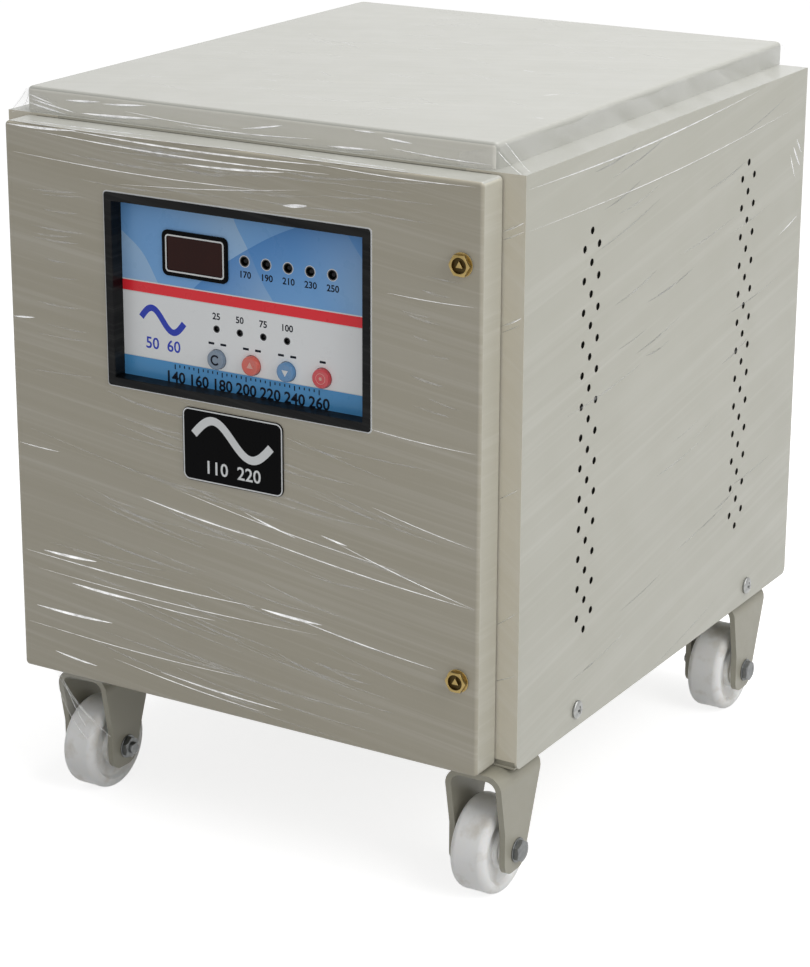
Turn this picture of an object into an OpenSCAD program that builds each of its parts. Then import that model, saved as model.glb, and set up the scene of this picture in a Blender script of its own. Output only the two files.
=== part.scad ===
// Single-phase servo voltage stabilizer in a folded sheet-steel case on four rigid casters.
// The front door carries the display panel, four push buttons and two quarter-turn latches.
// Inside stand a toroidal regulator with a motor-driven brush arm, a compensating transformer,
// a breaker and a terminal block. X runs right, Y runs back and Z runs up from the floor.

/* [Case] */
// Width of the case over its side panels
cab_w = 380; // [364:1:440]
// Depth of the case from its front strip to its back
cab_d = 410; // [390:1:470]
// Height of the case without casters and top cover
cab_h = 375; // [362:1:440]
// Thickness of the folded steel sheet
sheet = 1.5; // [1:0.1:2]
// Width of the flange folded in along the top of each side panel
top_lip = 40; // [30:1:60]
// Height of the rails above and below the front opening
rail_h = 30; // [20:1:36]
// Height of the base pan's folded-up sides
pan_lip = 26; // [20:1:32]
// Radius of the side panels' bottom corners
corner_r = 5; // [3:0.5:8]

/* [Top cover] */
// Height of the cover above the case
cover_h = 15.7; // [12:0.1:22]
// Gap from the case's left side to the cover
cover_left = 11; // [6:0.5:20]
// Gap from the case's right side to the cover
cover_right = 22; // [12:0.5:28]
// Gap from the front plane to the cover
cover_front = 5; // [3:0.5:12]
// How far the cover reaches past the back
cover_over = 5; // [2:0.5:8]
// Radius of the cover's upright corners
cover_r = 4; // [3:0.5:8]

/* [Vents] */
// Diameter of one vent hole
vent_d = 5.2; // [4:0.1:6]
// Upright pitch of the vent holes
vent_pitch = 20; // [16:0.5:21]
// Holes in the middle column of a vent group
vent_rows = 14; // [8:1:14]
// Sideways step from the middle column to its neighbours
vent_step = 9.6; // [8:0.1:12]
// Height of the lowest vent hole above the case's underside
vent_low = 65; // [55:1:70]
// Middle column of the front group, from the front plane
vent_front = 86; // [70:1:110]
// Middle column of the rear group, from the back
vent_back = 94; // [70:1:120]

/* [Door] */
// Front strip left bare beside the door, on each side
door_in = 15; // [12:0.5:18]
// Door face, ahead of the front plane
door_out = 23.6; // [22:0.1:26]
// Gap between the door's rear edge and the front plane
door_gap = 1.2; // [1.1:0.1:1.4]
// Gap under the door, above the case's underside
door_low = 0.8; // [0.6:0.1:2]
// Gap over the door, below the case's top
door_high = 1.5; // [1:0.1:3]
// Radius of the door's upright corners in the front view
door_r = 3; // [2.5:0.5:5]

/* [Hinges] */
// Hinge axis, in from the door's left face
hinge_in = 4.5; // [4.3:0.1:4.7]
// Hinge axis, ahead of the front plane
hinge_out = 14.5; // [14.3:0.1:15]
// Diameter of the hinge pins
pin_d = 4; // [3:0.1:4.4]
// Height of a hinge arm
arm_h = 8; // [6:0.5:12]
// Width of a hinge arm
arm_w = 5; // [4.6:0.1:5.4]
// Thickness of a door lug
lug_t = 2.5; // [2:0.1:4]
// Distance from each end of the door to its hinge
hinge_end = 60; // [45:1:80]

/* [Latches] */
// Width across the flats of a latch's hexagon
latch_af = 12.5; // [11:0.1:14]
// How far a latch's hexagon stands out of the door
latch_head = 3.4; // [2.5:0.1:5]
// Diameter of a latch's spindle
spindle_d = 6; // [5:0.1:7]
// Width of a latch's cam
cam_w = 9; // [8.8:0.1:9.6]
// Reach of a latch's cam from its spindle's axis
cam_reach = 17; // [14:0.5:19]
// Thickness of a latch's cam
cam_t = 2; // [1.5:0.1:3]
// Height of the lower latch above the case's underside
latch_low = 62.5; // [58:0.5:80]
// Distance of the upper latch below the case's top
latch_high = 51.5; // [50:0.5:60]

/* [Display] */
// Width of the display's black frame
bezel_w = 196; // [190:1:204]
// Height of the display's black frame
bezel_h = 126; // [123:0.5:130]
// Width of the frame's border
bezel_border = 5.5; // [5:0.1:6]
// Centre of the display, right of the case's centre
bezel_x = 1; // [-10:1:6]
// Centre of the display, below the case's top
bezel_down = 101.3; // [95:0.1:110]
// Depth of the printed panel behind the door's face
fascia_in = 9.5; // [8.7:0.1:9.6]
// Thickness of the printed panel
fascia_t = 2; // [1.5:0.1:2.1]
// Width of the digit window's black surround
screen_w = 49.5; // [46:0.5:52]
// Height of the digit window's black surround
screen_h = 29.3; // [28:0.1:31]
// Diameter of a push button's cap
button_d = 12.5; // [11:0.1:14]
// How far a push button stands out of the printed panel
button_out = 3.2; // [2:0.1:4]
// Travel of a push button
button_travel = 1; // [0.8:0.1:1.1]
// Pitch of the push buttons
button_pitch = 26; // [24:0.5:27]
// Pitch of the upper row of lamps
lamp_pitch = 16; // [14:0.5:16.5]
// Pitch of the lower row of lamps
small_pitch = 17.5; // [15:0.5:18]
// Width of the badge plate
badge_w = 75.5; // [60:0.5:90]
// Height of the badge plate
badge_h = 48; // [36:0.5:54]
// Gap between the display's frame and the badge plate
badge_gap = 5.2; // [3:0.1:12]

/* [Casters] */
// Diameter of a wheel
wheel_d = 62; // [56:1:66]
// Width of a wheel's tread
tread_w = 25; // [20:0.5:28]
// Height of the case's underside above the axles
fork_drop = 56; // [54:1:70]
// Width of a fork over its legs
fork_w = 40; // [39:0.5:44]
// Thickness of a fork's plate
fork_t = 4; // [3:0.1:4.5]
// Outer radius of a fork's bends
fork_r = 11; // [9:0.5:12]
// Right forks, in from the case's right side
fork_in_right = 1.5; // [1.5:0.5:12]
// Left forks, in from the case's left side
fork_in_left = 37; // [20:0.5:44]
// Front axles, behind the front plane
axle_front = 5.6; // [5:0.1:12]
// Rear axles, ahead of the back
axle_back = 61.4; // [50:0.1:80]
// Diameter of the axle bolts
bolt_d = 8; // [6:0.5:9]

/* [Rear fittings] */
// Diameter of a cable gland's passage
gland_bore = 14; // [10:0.5:15]
// Distance of each cable gland from the case's centre
gland_x = 60; // [40:1:90]
// Height of the cable glands above the case's underside
gland_up = 60; // [50:1:90]
// Diameter of the earth stud
stud_d = 6; // [5:0.5:8]

/* [Regulator] */
// Outer diameter of the regulator's winding
wind_d = 156; // [150:1:164]
// Height of the regulator's winding
wind_h = 76; // [60:1:90]
// Diameter of the regulator's shaft
shaft_d = 10; // [8:0.5:12]
// Diameter of the servo motor
motor_d = 60; // [50:1:64]
// Height of the servo motor
motor_h = 48; // [40:1:60]

/* [Transformer] */
// Width of the laminated core
core_w = 126; // [120:1:132]
// Height of the laminated core
core_h = 105; // [100:1:110]
// Depth of the laminated core's stack
core_d = 60; // [50:1:66]

/* [Hidden] */

// Colours
paint = "#B5B2A6";
white_nylon = "#DEDEDC";
zinc = "#9A9C9C";
brass_look = "#B8975A";
black_plastic = "#1C1E20";

// Fineness of round shapes, overrun of cuts, and the gaps that pieces share
$fn = 64;
over = 1;
run_gap = 0.05;
part_gap = 0.3;
fit_gap = 0.2;

// Planes of the case
right = cab_w / 2;
left = -right;
base_z = wheel_d / 2 + fork_drop;
top_z = base_z + cab_h;
pan_top = base_z + sheet;

// Rows of vent holes that fit under the bare upper part of the side panels
vent_bare = 45;
vent_fit = floor((cab_h - vent_low - vent_bare) / vent_pitch) + 1;
vent_used = min(vent_rows, vent_fit);

// Door, its hinge axis and the strip that it closes against
door_w = cab_w - 2 * door_in;
door_h = cab_h - door_low - door_high;
door_z = base_z + door_low;
strip_land = 1;
strip_w = door_in + hinge_in + arm_w / 2 + strip_land;
hinge_x = left + door_in + hinge_in;
arm_gap = 0.5;
notch_gap = 0.8;
notch_reach = 6;
arm_end_r = 3.9;
pin_head_d = 5.4;
pin_head_h = 1.5;
hinge_places = [door_z + hinge_end, door_z + door_h - hinge_end];

// Latches: the cam hangs in the opening and turns behind the front frame
cam_clear = 1.2;
latch_x = right - strip_w - cam_w / 2 - cam_clear;
lower_latch_z = base_z + latch_low;
upper_latch_z = top_z - latch_high;
latch_heights = [lower_latch_z, upper_latch_z];
recess_rim = 1.4;
recess_d = latch_af - 2 * recess_rim;
recess_depth = 2.2;
key_d = 5.6;
key_rise = 1.8;
collar_d = 15;
collar_t = 1;
bush_d = 17;
bush_l = 6;
cam_y = 2 * sheet + part_gap;
spindle_tail = 1.5;

// Display: the frame's wall fills a cut-out in the door and stands on the printed panel
bezel_z = top_z - bezel_down;
bezel_lap = 3;
bezel_proud = 1.2;
bezel_r = 2;
door_face = -door_out;
fascia_y = door_face + fascia_in;
fascia_w = bezel_w - 2 * bezel_lap - 2 * fit_gap;
fascia_h = bezel_h - 2 * bezel_lap - 2 * fit_gap;
board_gap = 8.5;
board_t = 1.6;
board_y = fascia_y + fascia_t + board_gap;
board_in = 6.5;
standoff_d = 6;
standoff_in = 5;
board_w = fascia_w - 2 * board_in;
board_h = fascia_h - 2 * board_in;

// Places on the printed panel, from its centre
screen_x = -35.8;
screen_up = 26.9;
screen_border = 3.7;
screen_r = 4;
screen_proud = 1.2;
glass_w = screen_w - 2 * screen_border;
glass_h = screen_h - 2 * screen_border;
lamp_x = 1;
lamp_up = 28.5;
lamp_count = 5;
lamp_d = 5;
lamp_hole_d = 6;
small_x = -20.7;
small_down = 17.8;
small_count = 4;
small_d = 3;
small_hole_d = 4.4;
button_x = -20.3;
button_down = 37.3;
button_count = 4;
button_rim = 1.4;
button_rim_t = 1;
button_stem_d = 4;
switch_side = 6;
switch_t = 4.2;
digit_t = 7.6;
digit_in = 3;
lamp_sink = 0.6;

// Parts on the back of the control board: sizes across, up and deep, and places from the board's
// centre as shares of its width and height
supply_size = [42, 36, 34];
supply_shares = [-0.33, 0.21];
relay_size = [19, 16, 15];
relay_shares = [-0.05, 0.09, 0.23, 0.37];
relay_up_share = 0.28;
chip_size = [36, 15, 4];
chip_shares = [0.06, -0.08];
left_socket_size = [60, 10, 10];
left_socket_shares = [-0.17, -0.32];
right_socket_size = [40, 10, 10];
right_socket_shares = [0.25, -0.32];
cap_d = 10;
cap_l = 16;
cap_shares = [[-0.08, 0.08], [0.29, 0], [0.37, 0]];

badge_t = 1;
badge_r = 5;
badge_x = -2;
badge_z = bezel_z - bezel_h / 2 - badge_gap - badge_h / 2;

// Screws of the case: pan heads with a cross recess
screw_head_d = 12;
screw_head_h = 3;
screw_d = 5.8;
screw_hole_d = 6.2;
screw_l = 8;
cross_w = 1.6;
cross_l = 6;
cross_depth = 1.4;
side_screw_front = 79;
side_screw_back = 70;
side_screw_up = 12.5;
rear_screw_in = 11;
rear_screw_end = 40;
side_screw_z = base_z + side_screw_up;
side_screw_places = [side_screw_front, cab_d - side_screw_back];
rear_screw_heights = [base_z + rear_screw_end, base_z + cab_h / 2, top_z - rear_screw_end];
rear_lip = 24;

// Casters
axle_z = wheel_d / 2;
fork_front = 21.6;
fork_back = 30.4;
fork_low_front = 16;
fork_low_back = 10.4;
fork_taper = 16;
fork_tip = 13;
fork_tip_r = 9;
fork_tip_turn = -15;
fork_corner = 5;
sleeve_d = bolt_d + 4 * sheet;
wheel_edge = 5;
hub_d = 22;
wheel_recess_in = 13;
wheel_recess_out = 24;
wheel_recess = 3;
fork_inner = fork_w - 2 * fork_t;
washer_d = 16;
washer_t = 1;
hex_af = 13;
hex_h = 3.5;
bolt_end = 2.5;
right_fork_x = right - fork_in_right - fork_w / 2;
left_fork_x = left + fork_in_left + fork_w / 2;
axle_y_front = axle_front;
axle_y_back = cab_d - axle_back;
fix_d = 6;
fix_af = 10;
fix_head_h = 4;
fix_nut_h = 5;
fix_end = 2;
fix_first = 5.4;
fix_second = 23.4;
caster_places = [
  [left_fork_x, axle_y_front, -1], [right_fork_x, axle_y_front, 1],
  [left_fork_x, axle_y_back, -1], [right_fork_x, axle_y_back, 1]
];

// Rear fittings
gland_af = 30;
gland_hex_h = 6;
gland_thread_d = 22;
gland_thread_l = 10;
gland_cap_d = 26;
gland_cap_h = 16;
gland_nut_h = 5;
stud_in = 50;
stud_x = left + stud_in;
stud_up = 60;
stud_l = 16;
stud_flange_d = 14;
stud_flange_t = 2;
stud_inner = 8;
rear_face = cab_d - sheet;

// Switchgear behind the door
plate_y = 84;
plate_w = 270;
plate_h = 130;
plate_foot = 30;
rail_width = 35;
rail_depth = 7.5;
rail_len = 150;
rail_sheet = 1.2;
rail_up = 84;
breaker_w = 36;
breaker_h = 83;
breaker_back = 44;
breaker_nose_h = 45;
breaker_nose = 16;
breaker_x = 70;
toggle_w = 27;
toggle_d = 10;
toggle_in = 3;
toggle_reach = 13;
toggle_t = 5;
toggle_rest = 40;
lever_in = 1.5;
toggle_cave = 2 * toggle_d + 3 * toggle_in;
pivot_in = 2;
cave_side = toggle_w / 2 + part_gap;
pivot_half = cave_side + pivot_in;
breaker_y = plate_y - rail_depth - breaker_back;
toggle_y = breaker_y - breaker_nose + toggle_in;
breaker_z = pan_top + rail_up;
term_w = 130;
term_h = 30;
term_d = 26;
term_x = -50;
term_up = 42;
term_count = 6;
term_well_w = 15;
term_well_h = 20;
term_well_d = 10;
term_screw_d = 8;
term_screw_h = 4;

// Regulator, with its axis upright; its bridge's foot stands just behind the switch plate's
reg_share = -0.221;
foot_gap = 3;
bridge_gap = 7;
bridge_foot = 16;
reg_x = reg_share * cab_w;
reg_y = plate_y + plate_foot + foot_gap + wind_d / 2 + bridge_gap + bridge_foot;
frame_d = wind_d - 4 * sheet;
frame_t = 5;
wind_hole_d = 76;
core_wall = 7;
column_d = 30;
column_l = wind_h - frame_t;
wind_z = pan_top + frame_t;
arm_lift = 4;
arm_t = 9;
arm_wide = 16;
arm_hub_d = 26;
brush_r = wind_d / 2 - 16;
brush_l = 10;
brush_w = 9;
brush_over = 3;
arm_tail = 34;
bridge_t = 3;
bridge_w = 60;
bridge_space = 16;
bridge_z = wind_z + wind_h + arm_lift + arm_t + bridge_space;
gearbox_d = 44;
gearbox_h = 14;
motor_socket = 9;
arm_z = wind_z + wind_h + arm_lift;

// Compensating transformer, with its laminations stacked front to back
trf_share = 0.263;
trf_x = trf_share * cab_w;
trf_y = reg_y;
clamp_t = 3;
clamp_w = 22;
clamp_h = 20;
core_z = pan_top + clamp_t;
yoke = core_w / 6;
half_limb = core_w / 6;
window_w = core_w / 6;
window_h = core_h - 2 * yoke;
coil_over = 20;
coil_gap = 0.3;
tie_d = 6;
tie_head_af = 10;
tie_head_h = 4;

// Reaches of the whole object, which put the origin at the middle of its footprint
reach_side = cab_w / 2 + screw_head_h;
reach_right = max(reach_side, right - fork_in_right + washer_t + hex_h);
reach_front = max(door_out + collar_t + latch_head, wheel_d / 2 - axle_front);
gland_reach = gland_hex_h + gland_cap_h;
stud_reach = stud_flange_t + stud_l;
reach_back = max(cab_d + cover_over, rear_face + gland_reach, rear_face + stud_reach);
home_x = (reach_side - reach_right) / 2;
home_y = (reach_front - reach_back) / 2;

// Puts a piece drawn from the case's own planes into the object's frame
module placed() {
  translate([home_x, home_y, 0]) children();
}

// Box between two opposite corners, given in any order
module span(a, b) {
  low = [for (i = [0 : 2]) min(a[i], b[i])];
  high = [for (i = [0 : 2]) max(a[i], b[i])];
  translate(low) cube(high - low);
}

// Round rod or round cut along X, from its left end
module along_x(p, d, l) {
  translate(p) rotate([0, 90, 0]) cylinder(h = l, d = d);
}

// Round rod or round cut along Y, from its front end
module along_y(p, d, l) {
  translate([p[0], p[1] + l, p[2]]) rotate([90, 0, 0]) cylinder(h = l, d = d);
}

// Round rod or round cut along Z, from its lower end
module along_z(p, d, l) {
  translate(p) cylinder(h = l, d = d);
}

// Centred rectangle with round corners
module rounded(w, h, r) {
  square([w - 2 * r, h], center = true);
  square([w, h - 2 * r], center = true);
  for (sx = [-1, 1], sy = [-1, 1]) translate([sx * (w / 2 - r), sy * (h / 2 - r)]) circle(r);
}

// Draws a flat outline in the front view, standing at y and going back by depth
module facing(x, y, z, depth) {
  translate([x, y + depth, z]) rotate([90, 0, 0]) linear_extrude(depth) children();
}

// Hexagonal prism along +Z with the given width across its flats
module hexagon(af, h) {
  cylinder(h = h, r = af / sqrt(3), $fn = 6);
}

// Points of an arc in a plane, from one angle to another
function arc(c, r, from, to, steps = 8) = [
  for (i = [0 : steps])
    let (a = from + (to - from) * i / steps) c + r * [cos(a), sin(a)]
];

// Case

module base_pan() {
  wall = right - sheet;
  color(paint) placed() difference() {
    union() {
      span([-wall, 0, base_z], [wall, cab_d, pan_top]);
      for (s = [-1, 1]) {
        span([s * wall, 2 * sheet, base_z], [s * (wall - sheet), cab_d - 2 * sheet, base_z + pan_lip]);
      }
    }
    for (c = caster_places, f = [fix_first, fix_second]) {
      along_z([c[0], c[1] + f, base_z - over], fix_d + 2 * fit_gap, sheet + 2 * over);
    }
    for (y = side_screw_places) along_x([left, y, side_screw_z], screw_hole_d, cab_w);
  }
}

// Vent holes of one side panel, drawn along X
module vent_holes() {
  for (y = [vent_front, cab_d - vent_back], c = [-1 : 1], i = [0 : vent_used - 1 - abs(c)]) {
    up = base_z + vent_low + (i + abs(c) / 2) * vent_pitch;
    along_x([right - sheet - over, y + c * vent_step, up], vent_d, sheet + 2 * over);
  }
}

// Side view of a side panel, with y along the first axis and z along the second
module side_outline() {
  translate([0, base_z + corner_r]) square([cab_d, cab_h - corner_r]);
  translate([corner_r, base_z]) square([cab_d - 2 * corner_r, 2 * corner_r]);
  for (y = [corner_r, cab_d - corner_r]) translate([y, base_z + corner_r]) circle(corner_r);
}

module side_panel() {
  difference() {
    union() {
      translate([right - sheet, 0, 0]) rotate([90, 0, 90]) linear_extrude(sheet) side_outline();
      span([right - strip_w, 0, base_z + corner_r], [right, sheet, top_z]);
      span([right - rear_lip, cab_d - sheet, base_z + corner_r], [right, cab_d, top_z]);
      span([right - top_lip, 0, top_z - sheet], [right, cab_d, top_z]);
    }
    vent_holes();
    for (y = side_screw_places) {
      along_x([right - sheet - over, y, side_screw_z], screw_hole_d, sheet + 2 * over);
    }
    for (z = rear_screw_heights) {
      along_y([right - rear_screw_in, cab_d - sheet - over, z], screw_hole_d, sheet + 2 * over);
    }
  }
}

module right_side_panel() {
  color(paint) placed() side_panel();
}

module left_side_panel() {
  color(paint) placed() mirror([1, 0, 0]) side_panel();
}

module rear_panel() {
  wall = right - sheet;
  cut_y = cab_d - 2 * sheet - over;
  cut_l = 2 * sheet + over;
  color(paint) placed() difference() {
    union() {
      span([-wall, cab_d - 2 * sheet, pan_top], [wall, rear_face, top_z - sheet]);
      span([top_lip - right, cab_d - top_lip, top_z - sheet], [right - top_lip, cab_d, top_z]);
    }
    for (s = [-1, 1]) {
      along_y([s * gland_x, cut_y, base_z + gland_up], gland_thread_d + 2 * fit_gap, cut_l);
    }
    along_y([stud_x, cut_y, base_z + stud_up], stud_d + 2 * fit_gap, cut_l);
    for (s = [-1, 1], z = rear_screw_heights) {
      along_y([s * (right - rear_screw_in), cut_y, z], screw_hole_d, cut_l);
    }
  }
}

module front_frame() {
  wall = right - sheet;
  edge = right - strip_w;
  color(paint) placed() difference() {
    union() {
      span([-wall, sheet, pan_top], [wall, 2 * sheet, top_z - sheet]);
      span([top_lip - right, 0, top_z - sheet], [right - top_lip, top_lip, top_z]);
    }
    span([-edge, sheet - over, base_z + rail_h], [edge, 2 * sheet + over, top_z - rail_h]);
  }
}

module top_cover() {
  w = cab_w - cover_left - cover_right;
  d = cab_d - cover_front + cover_over;
  color(paint) placed() translate([left + cover_left + w / 2, cover_front + d / 2, top_z]) difference() {
    linear_extrude(cover_h) rounded(w, d, cover_r);
    translate([0, 0, -over]) linear_extrude(cover_h - sheet + over) {
      rounded(w - 2 * sheet, d - 2 * sheet, cover_r - sheet / 2);
    }
  }
}

// Pan-head screw whose head rises along +Z from its seat at the origin
module pan_screw() {
  rise = screw_head_h;
  half = screw_head_d / 2;
  dome_r = (half * half + rise * rise) / (2 * rise);
  difference() {
    intersection() {
      translate([0, 0, rise - dome_r]) sphere(dome_r);
      cylinder(h = rise + over, d = screw_head_d + over);
    }
    translate([0, 0, rise - cross_depth]) linear_extrude(cross_depth + over) {
      square([cross_l, cross_w], center = true);
      square([cross_w, cross_l], center = true);
    }
  }
  translate([0, 0, -screw_l]) cylinder(h = screw_l + over / 2, d = screw_d);
}

module case_screws() {
  color(zinc) placed() {
    for (s = [-1, 1], y = side_screw_places) {
      translate([s * right, y, side_screw_z]) rotate([0, s * 90, 0]) pan_screw();
    }
    for (s = [-1, 1], z = rear_screw_heights) {
      translate([s * (right - rear_screw_in), cab_d, z]) rotate([-90, 0, 0]) pan_screw();
    }
  }
}

// Casters

// Side view of a fork's leg about its axle, with y along the first axis and z along the second
function leg_outline() = concat(
  [[-fork_front, fork_drop], [-fork_front, fork_drop - fork_r], [-fork_low_front, fork_taper]],
  arc([fork_tip_r - fork_low_front, fork_tip_r - fork_tip], fork_tip_r, -180, -90),
  arc([fork_low_back - fork_tip_r, fork_tip_r - fork_tip], fork_tip_r, -90, fork_tip_turn),
  arc([fork_back - fork_corner, fork_drop - fork_corner], fork_corner, fork_tip_turn, 90)
);

// End view of a fork about its axle: a plate bent down at both sides
module fork_section() {
  difference() {
    rounded(fork_w, 2 * fork_drop, fork_r);
    rounded(fork_inner, 2 * fork_drop - 2 * fork_t, fork_r - fork_t);
    translate([-fork_w, -3 * fork_drop]) square([2 * fork_w, 2 * fork_drop]);
  }
}

module fork(c) {
  color(paint) placed() translate([c[0], c[1], axle_z]) difference() {
    intersection() {
      translate([0, fork_back, 0]) rotate([90, 0, 0]) linear_extrude(fork_front + fork_back) fork_section();
      translate([-fork_w, 0, 0]) rotate([90, 0, 90]) linear_extrude(2 * fork_w) polygon(leg_outline());
    }
    along_x([-fork_w, 0, 0], bolt_d + fit_gap, 2 * fork_w);
    for (f = [fix_first, fix_second]) {
      along_z([0, f, fork_drop - fork_t - over], fix_d + 2 * fit_gap, fork_t + 2 * over);
    }
  }
}

module front_left_fork() fork(caster_places[0]);
module front_right_fork() fork(caster_places[1]);
module rear_left_fork() fork(caster_places[2]);
module rear_right_fork() fork(caster_places[3]);

// Half section of a wheel: radius along the first axis, width along the second
module wheel_section() {
  r = wheel_d / 2;
  bore = sleeve_d / 2 + run_gap;
  hub_l = fork_inner - 2 * part_gap;
  recess_w = wheel_recess_out - wheel_recess_in;
  difference() {
    union() {
      translate([bore, -tread_w / 2]) square([r - wheel_edge - bore, tread_w]);
      translate([bore, wheel_edge - tread_w / 2]) square([r - bore, tread_w - 2 * wheel_edge]);
      for (s = [-1, 1]) translate([r - wheel_edge, s * (tread_w / 2 - wheel_edge)]) circle(wheel_edge);
      translate([bore, -hub_l / 2]) square([hub_d / 2 - bore, hub_l]);
    }
    for (s = [-1, 1]) {
      mid = s * (tread_w + over - wheel_recess) / 2;
      translate([wheel_recess_in + recess_w / 2, mid]) {
        square([recess_w, wheel_recess + over], center = true);
      }
    }
  }
}

module wheel(c) {
  color(white_nylon) placed() translate([c[0], c[1], axle_z]) rotate([0, 90, 0]) {
    rotate_extrude($fn = 96) wheel_section();
  }
}

module front_left_wheel() wheel(caster_places[0]);
module front_right_wheel() wheel(caster_places[1]);
module rear_left_wheel() wheel(caster_places[2]);
module rear_right_wheel() wheel(caster_places[3]);

module axle_sleeves() {
  color(zinc) placed() for (c = caster_places) difference() {
    along_x([c[0] - fork_inner / 2, c[1], axle_z], sleeve_d, fork_inner);
    along_x([c[0] - fork_inner / 2 - over, c[1], axle_z], bolt_d, fork_inner + 2 * over);
  }
}

// Bolt along +Z with its washer's face at the origin and its shank going down
module axle_bolt() {
  cylinder(h = washer_t, d = washer_d);
  translate([0, 0, washer_t]) hexagon(hex_af, hex_h);
  shank = fork_w + washer_t + hex_h + bolt_end;
  translate([0, 0, -shank]) cylinder(h = shank + washer_t, d = bolt_d);
}

module axle_bolts() {
  color(zinc) placed() for (c = caster_places) {
    translate([c[0] + c[2] * fork_w / 2, c[1], axle_z]) rotate([0, c[2] * 90, 0]) axle_bolt();
  }
}

module axle_nuts() {
  color(zinc) placed() for (c = caster_places) {
    translate([c[0] - c[2] * fork_w / 2, c[1], axle_z]) rotate([0, -c[2] * 90, 0]) difference() {
      union() {
        cylinder(h = washer_t, d = washer_d);
        translate([0, 0, washer_t]) hexagon(hex_af, hex_h);
      }
      along_z([0, 0, -over], bolt_d, washer_t + hex_h + 2 * over);
    }
  }
}

module fork_fasteners() {
  head_z = base_z - fork_t - fix_head_h;
  low = head_z + fix_head_h / 2;
  high = pan_top + fix_nut_h + fix_end;
  color(zinc) placed() for (c = caster_places, f = [fix_first, fix_second]) {
    translate([c[0], c[1] + f, 0]) {
      translate([0, 0, head_z]) hexagon(fix_af, fix_head_h);
      along_z([0, 0, low], fix_d, high - low);
      translate([0, 0, pan_top]) difference() {
        hexagon(fix_af, fix_nut_h);
        along_z([0, 0, -over], fix_d + 2 * run_gap, fix_nut_h + 2 * over);
      }
    }
  }
}

// Door

module door_panel() {
  mid_z = door_z + door_h / 2;
  depth = door_out - door_gap;
  reach = arm_h / 2 + notch_gap;
  side = left + door_in;
  color(paint) placed() difference() {
    facing(0, door_face, mid_z, depth) rounded(door_w, door_h, door_r);
    facing(0, door_face + sheet, mid_z, depth) {
      rounded(door_w - 2 * sheet, door_h - 2 * sheet, door_r - sheet);
    }
    facing(bezel_x, door_face - over, bezel_z, sheet + 2 * over) {
      rounded(bezel_w - 2 * bezel_lap, bezel_h - 2 * bezel_lap, bezel_r);
    }
    for (z = latch_heights) {
      along_y([latch_x, door_face - over, z], spindle_d + 2 * fit_gap, sheet + 2 * over);
    }
    for (z = hinge_places) {
      span([side - over, -hinge_out - notch_reach, z - reach], [side + sheet + over, 0, z + reach]);
    }
  }
}

module hinge_arms() {
  color(paint) placed() for (z = hinge_places) {
    translate([hinge_x, -hinge_out, z - arm_h / 2]) difference() {
      union() {
        cylinder(h = arm_h, r = arm_end_r);
        span([-arm_w / 2, 0, 0], [arm_w / 2, hinge_out, arm_h]);
      }
      along_z([0, 0, -over], pin_d, arm_h + 2 * over);
    }
  }
}

module hinge_pins() {
  half = arm_h / 2 + arm_gap + lug_t + arm_gap;
  color(zinc) placed() for (z = hinge_places) {
    along_z([hinge_x, -hinge_out, z - half], pin_d, 2 * half);
    for (low = [z - half - pin_head_h, z + half]) {
      along_z([hinge_x, -hinge_out, low], pin_head_d, pin_head_h);
    }
  }
}

module hinge_lugs() {
  wall = sheet - hinge_in;
  nose = hinge_out + sheet - door_out;
  color(paint) placed() for (z = hinge_places, s = [-1, 1]) {
    translate([hinge_x, -hinge_out, z + s * (arm_h / 2 + arm_gap + lug_t / 2)]) difference() {
      span([wall, nose, -lug_t / 2], [hinge_in, hinge_in, lug_t / 2]);
      along_z([0, 0, -lug_t], pin_d + 2 * run_gap, 2 * lug_t);
    }
  }
}

// Brass latch: a hexagon with a three-sided key post in its round recess, on the cam's spindle
module latch_spindle(z) {
  front_y = door_face - collar_t;
  tail_y = cam_y + cam_t + spindle_tail;
  floor_y = front_y - latch_head + recess_depth;
  color(brass_look) placed() {
    difference() {
      union() {
        along_y([latch_x, front_y, z], collar_d, collar_t - part_gap);
        translate([latch_x, front_y, z]) rotate([90, 0, 0]) hexagon(latch_af, latch_head);
        along_y([latch_x, front_y + collar_t / 2, z], spindle_d, tail_y - front_y - collar_t / 2);
      }
      along_y([latch_x, front_y - latch_head - over, z], recess_d, recess_depth + over);
    }
    translate([latch_x, floor_y + collar_t / 2, z]) rotate([90, -90, 0]) {
      cylinder(h = key_rise + collar_t / 2, d = key_d, $fn = 3);
    }
  }
}

module latch_cam(z) {
  low = z + cam_w / 2 - cam_reach;
  color(zinc) placed() difference() {
    union() {
      for (end = [low, z]) along_y([latch_x, cam_y, end], cam_w, cam_t);
      span([latch_x - cam_w / 2, cam_y, low], [latch_x + cam_w / 2, cam_y + cam_t, z]);
    }
    along_y([latch_x, cam_y - over, z], spindle_d, cam_t + 2 * over);
  }
}

module upper_latch_spindle() latch_spindle(upper_latch_z);
module lower_latch_spindle() latch_spindle(lower_latch_z);
module upper_latch_cam() latch_cam(upper_latch_z);
module lower_latch_cam() latch_cam(lower_latch_z);

module latch_bushes() {
  color(zinc) placed() for (z = latch_heights) difference() {
    along_y([latch_x, door_face + sheet, z], bush_d, bush_l);
    along_y([latch_x, door_face + sheet - over, z], spindle_d + 2 * run_gap, bush_l + 2 * over);
  }
}

module badge_plate() {
  color(black_plastic) placed() facing(badge_x, door_face - badge_t, badge_z, badge_t) {
    rounded(badge_w, badge_h, badge_r);
  }
}

// Display

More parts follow.
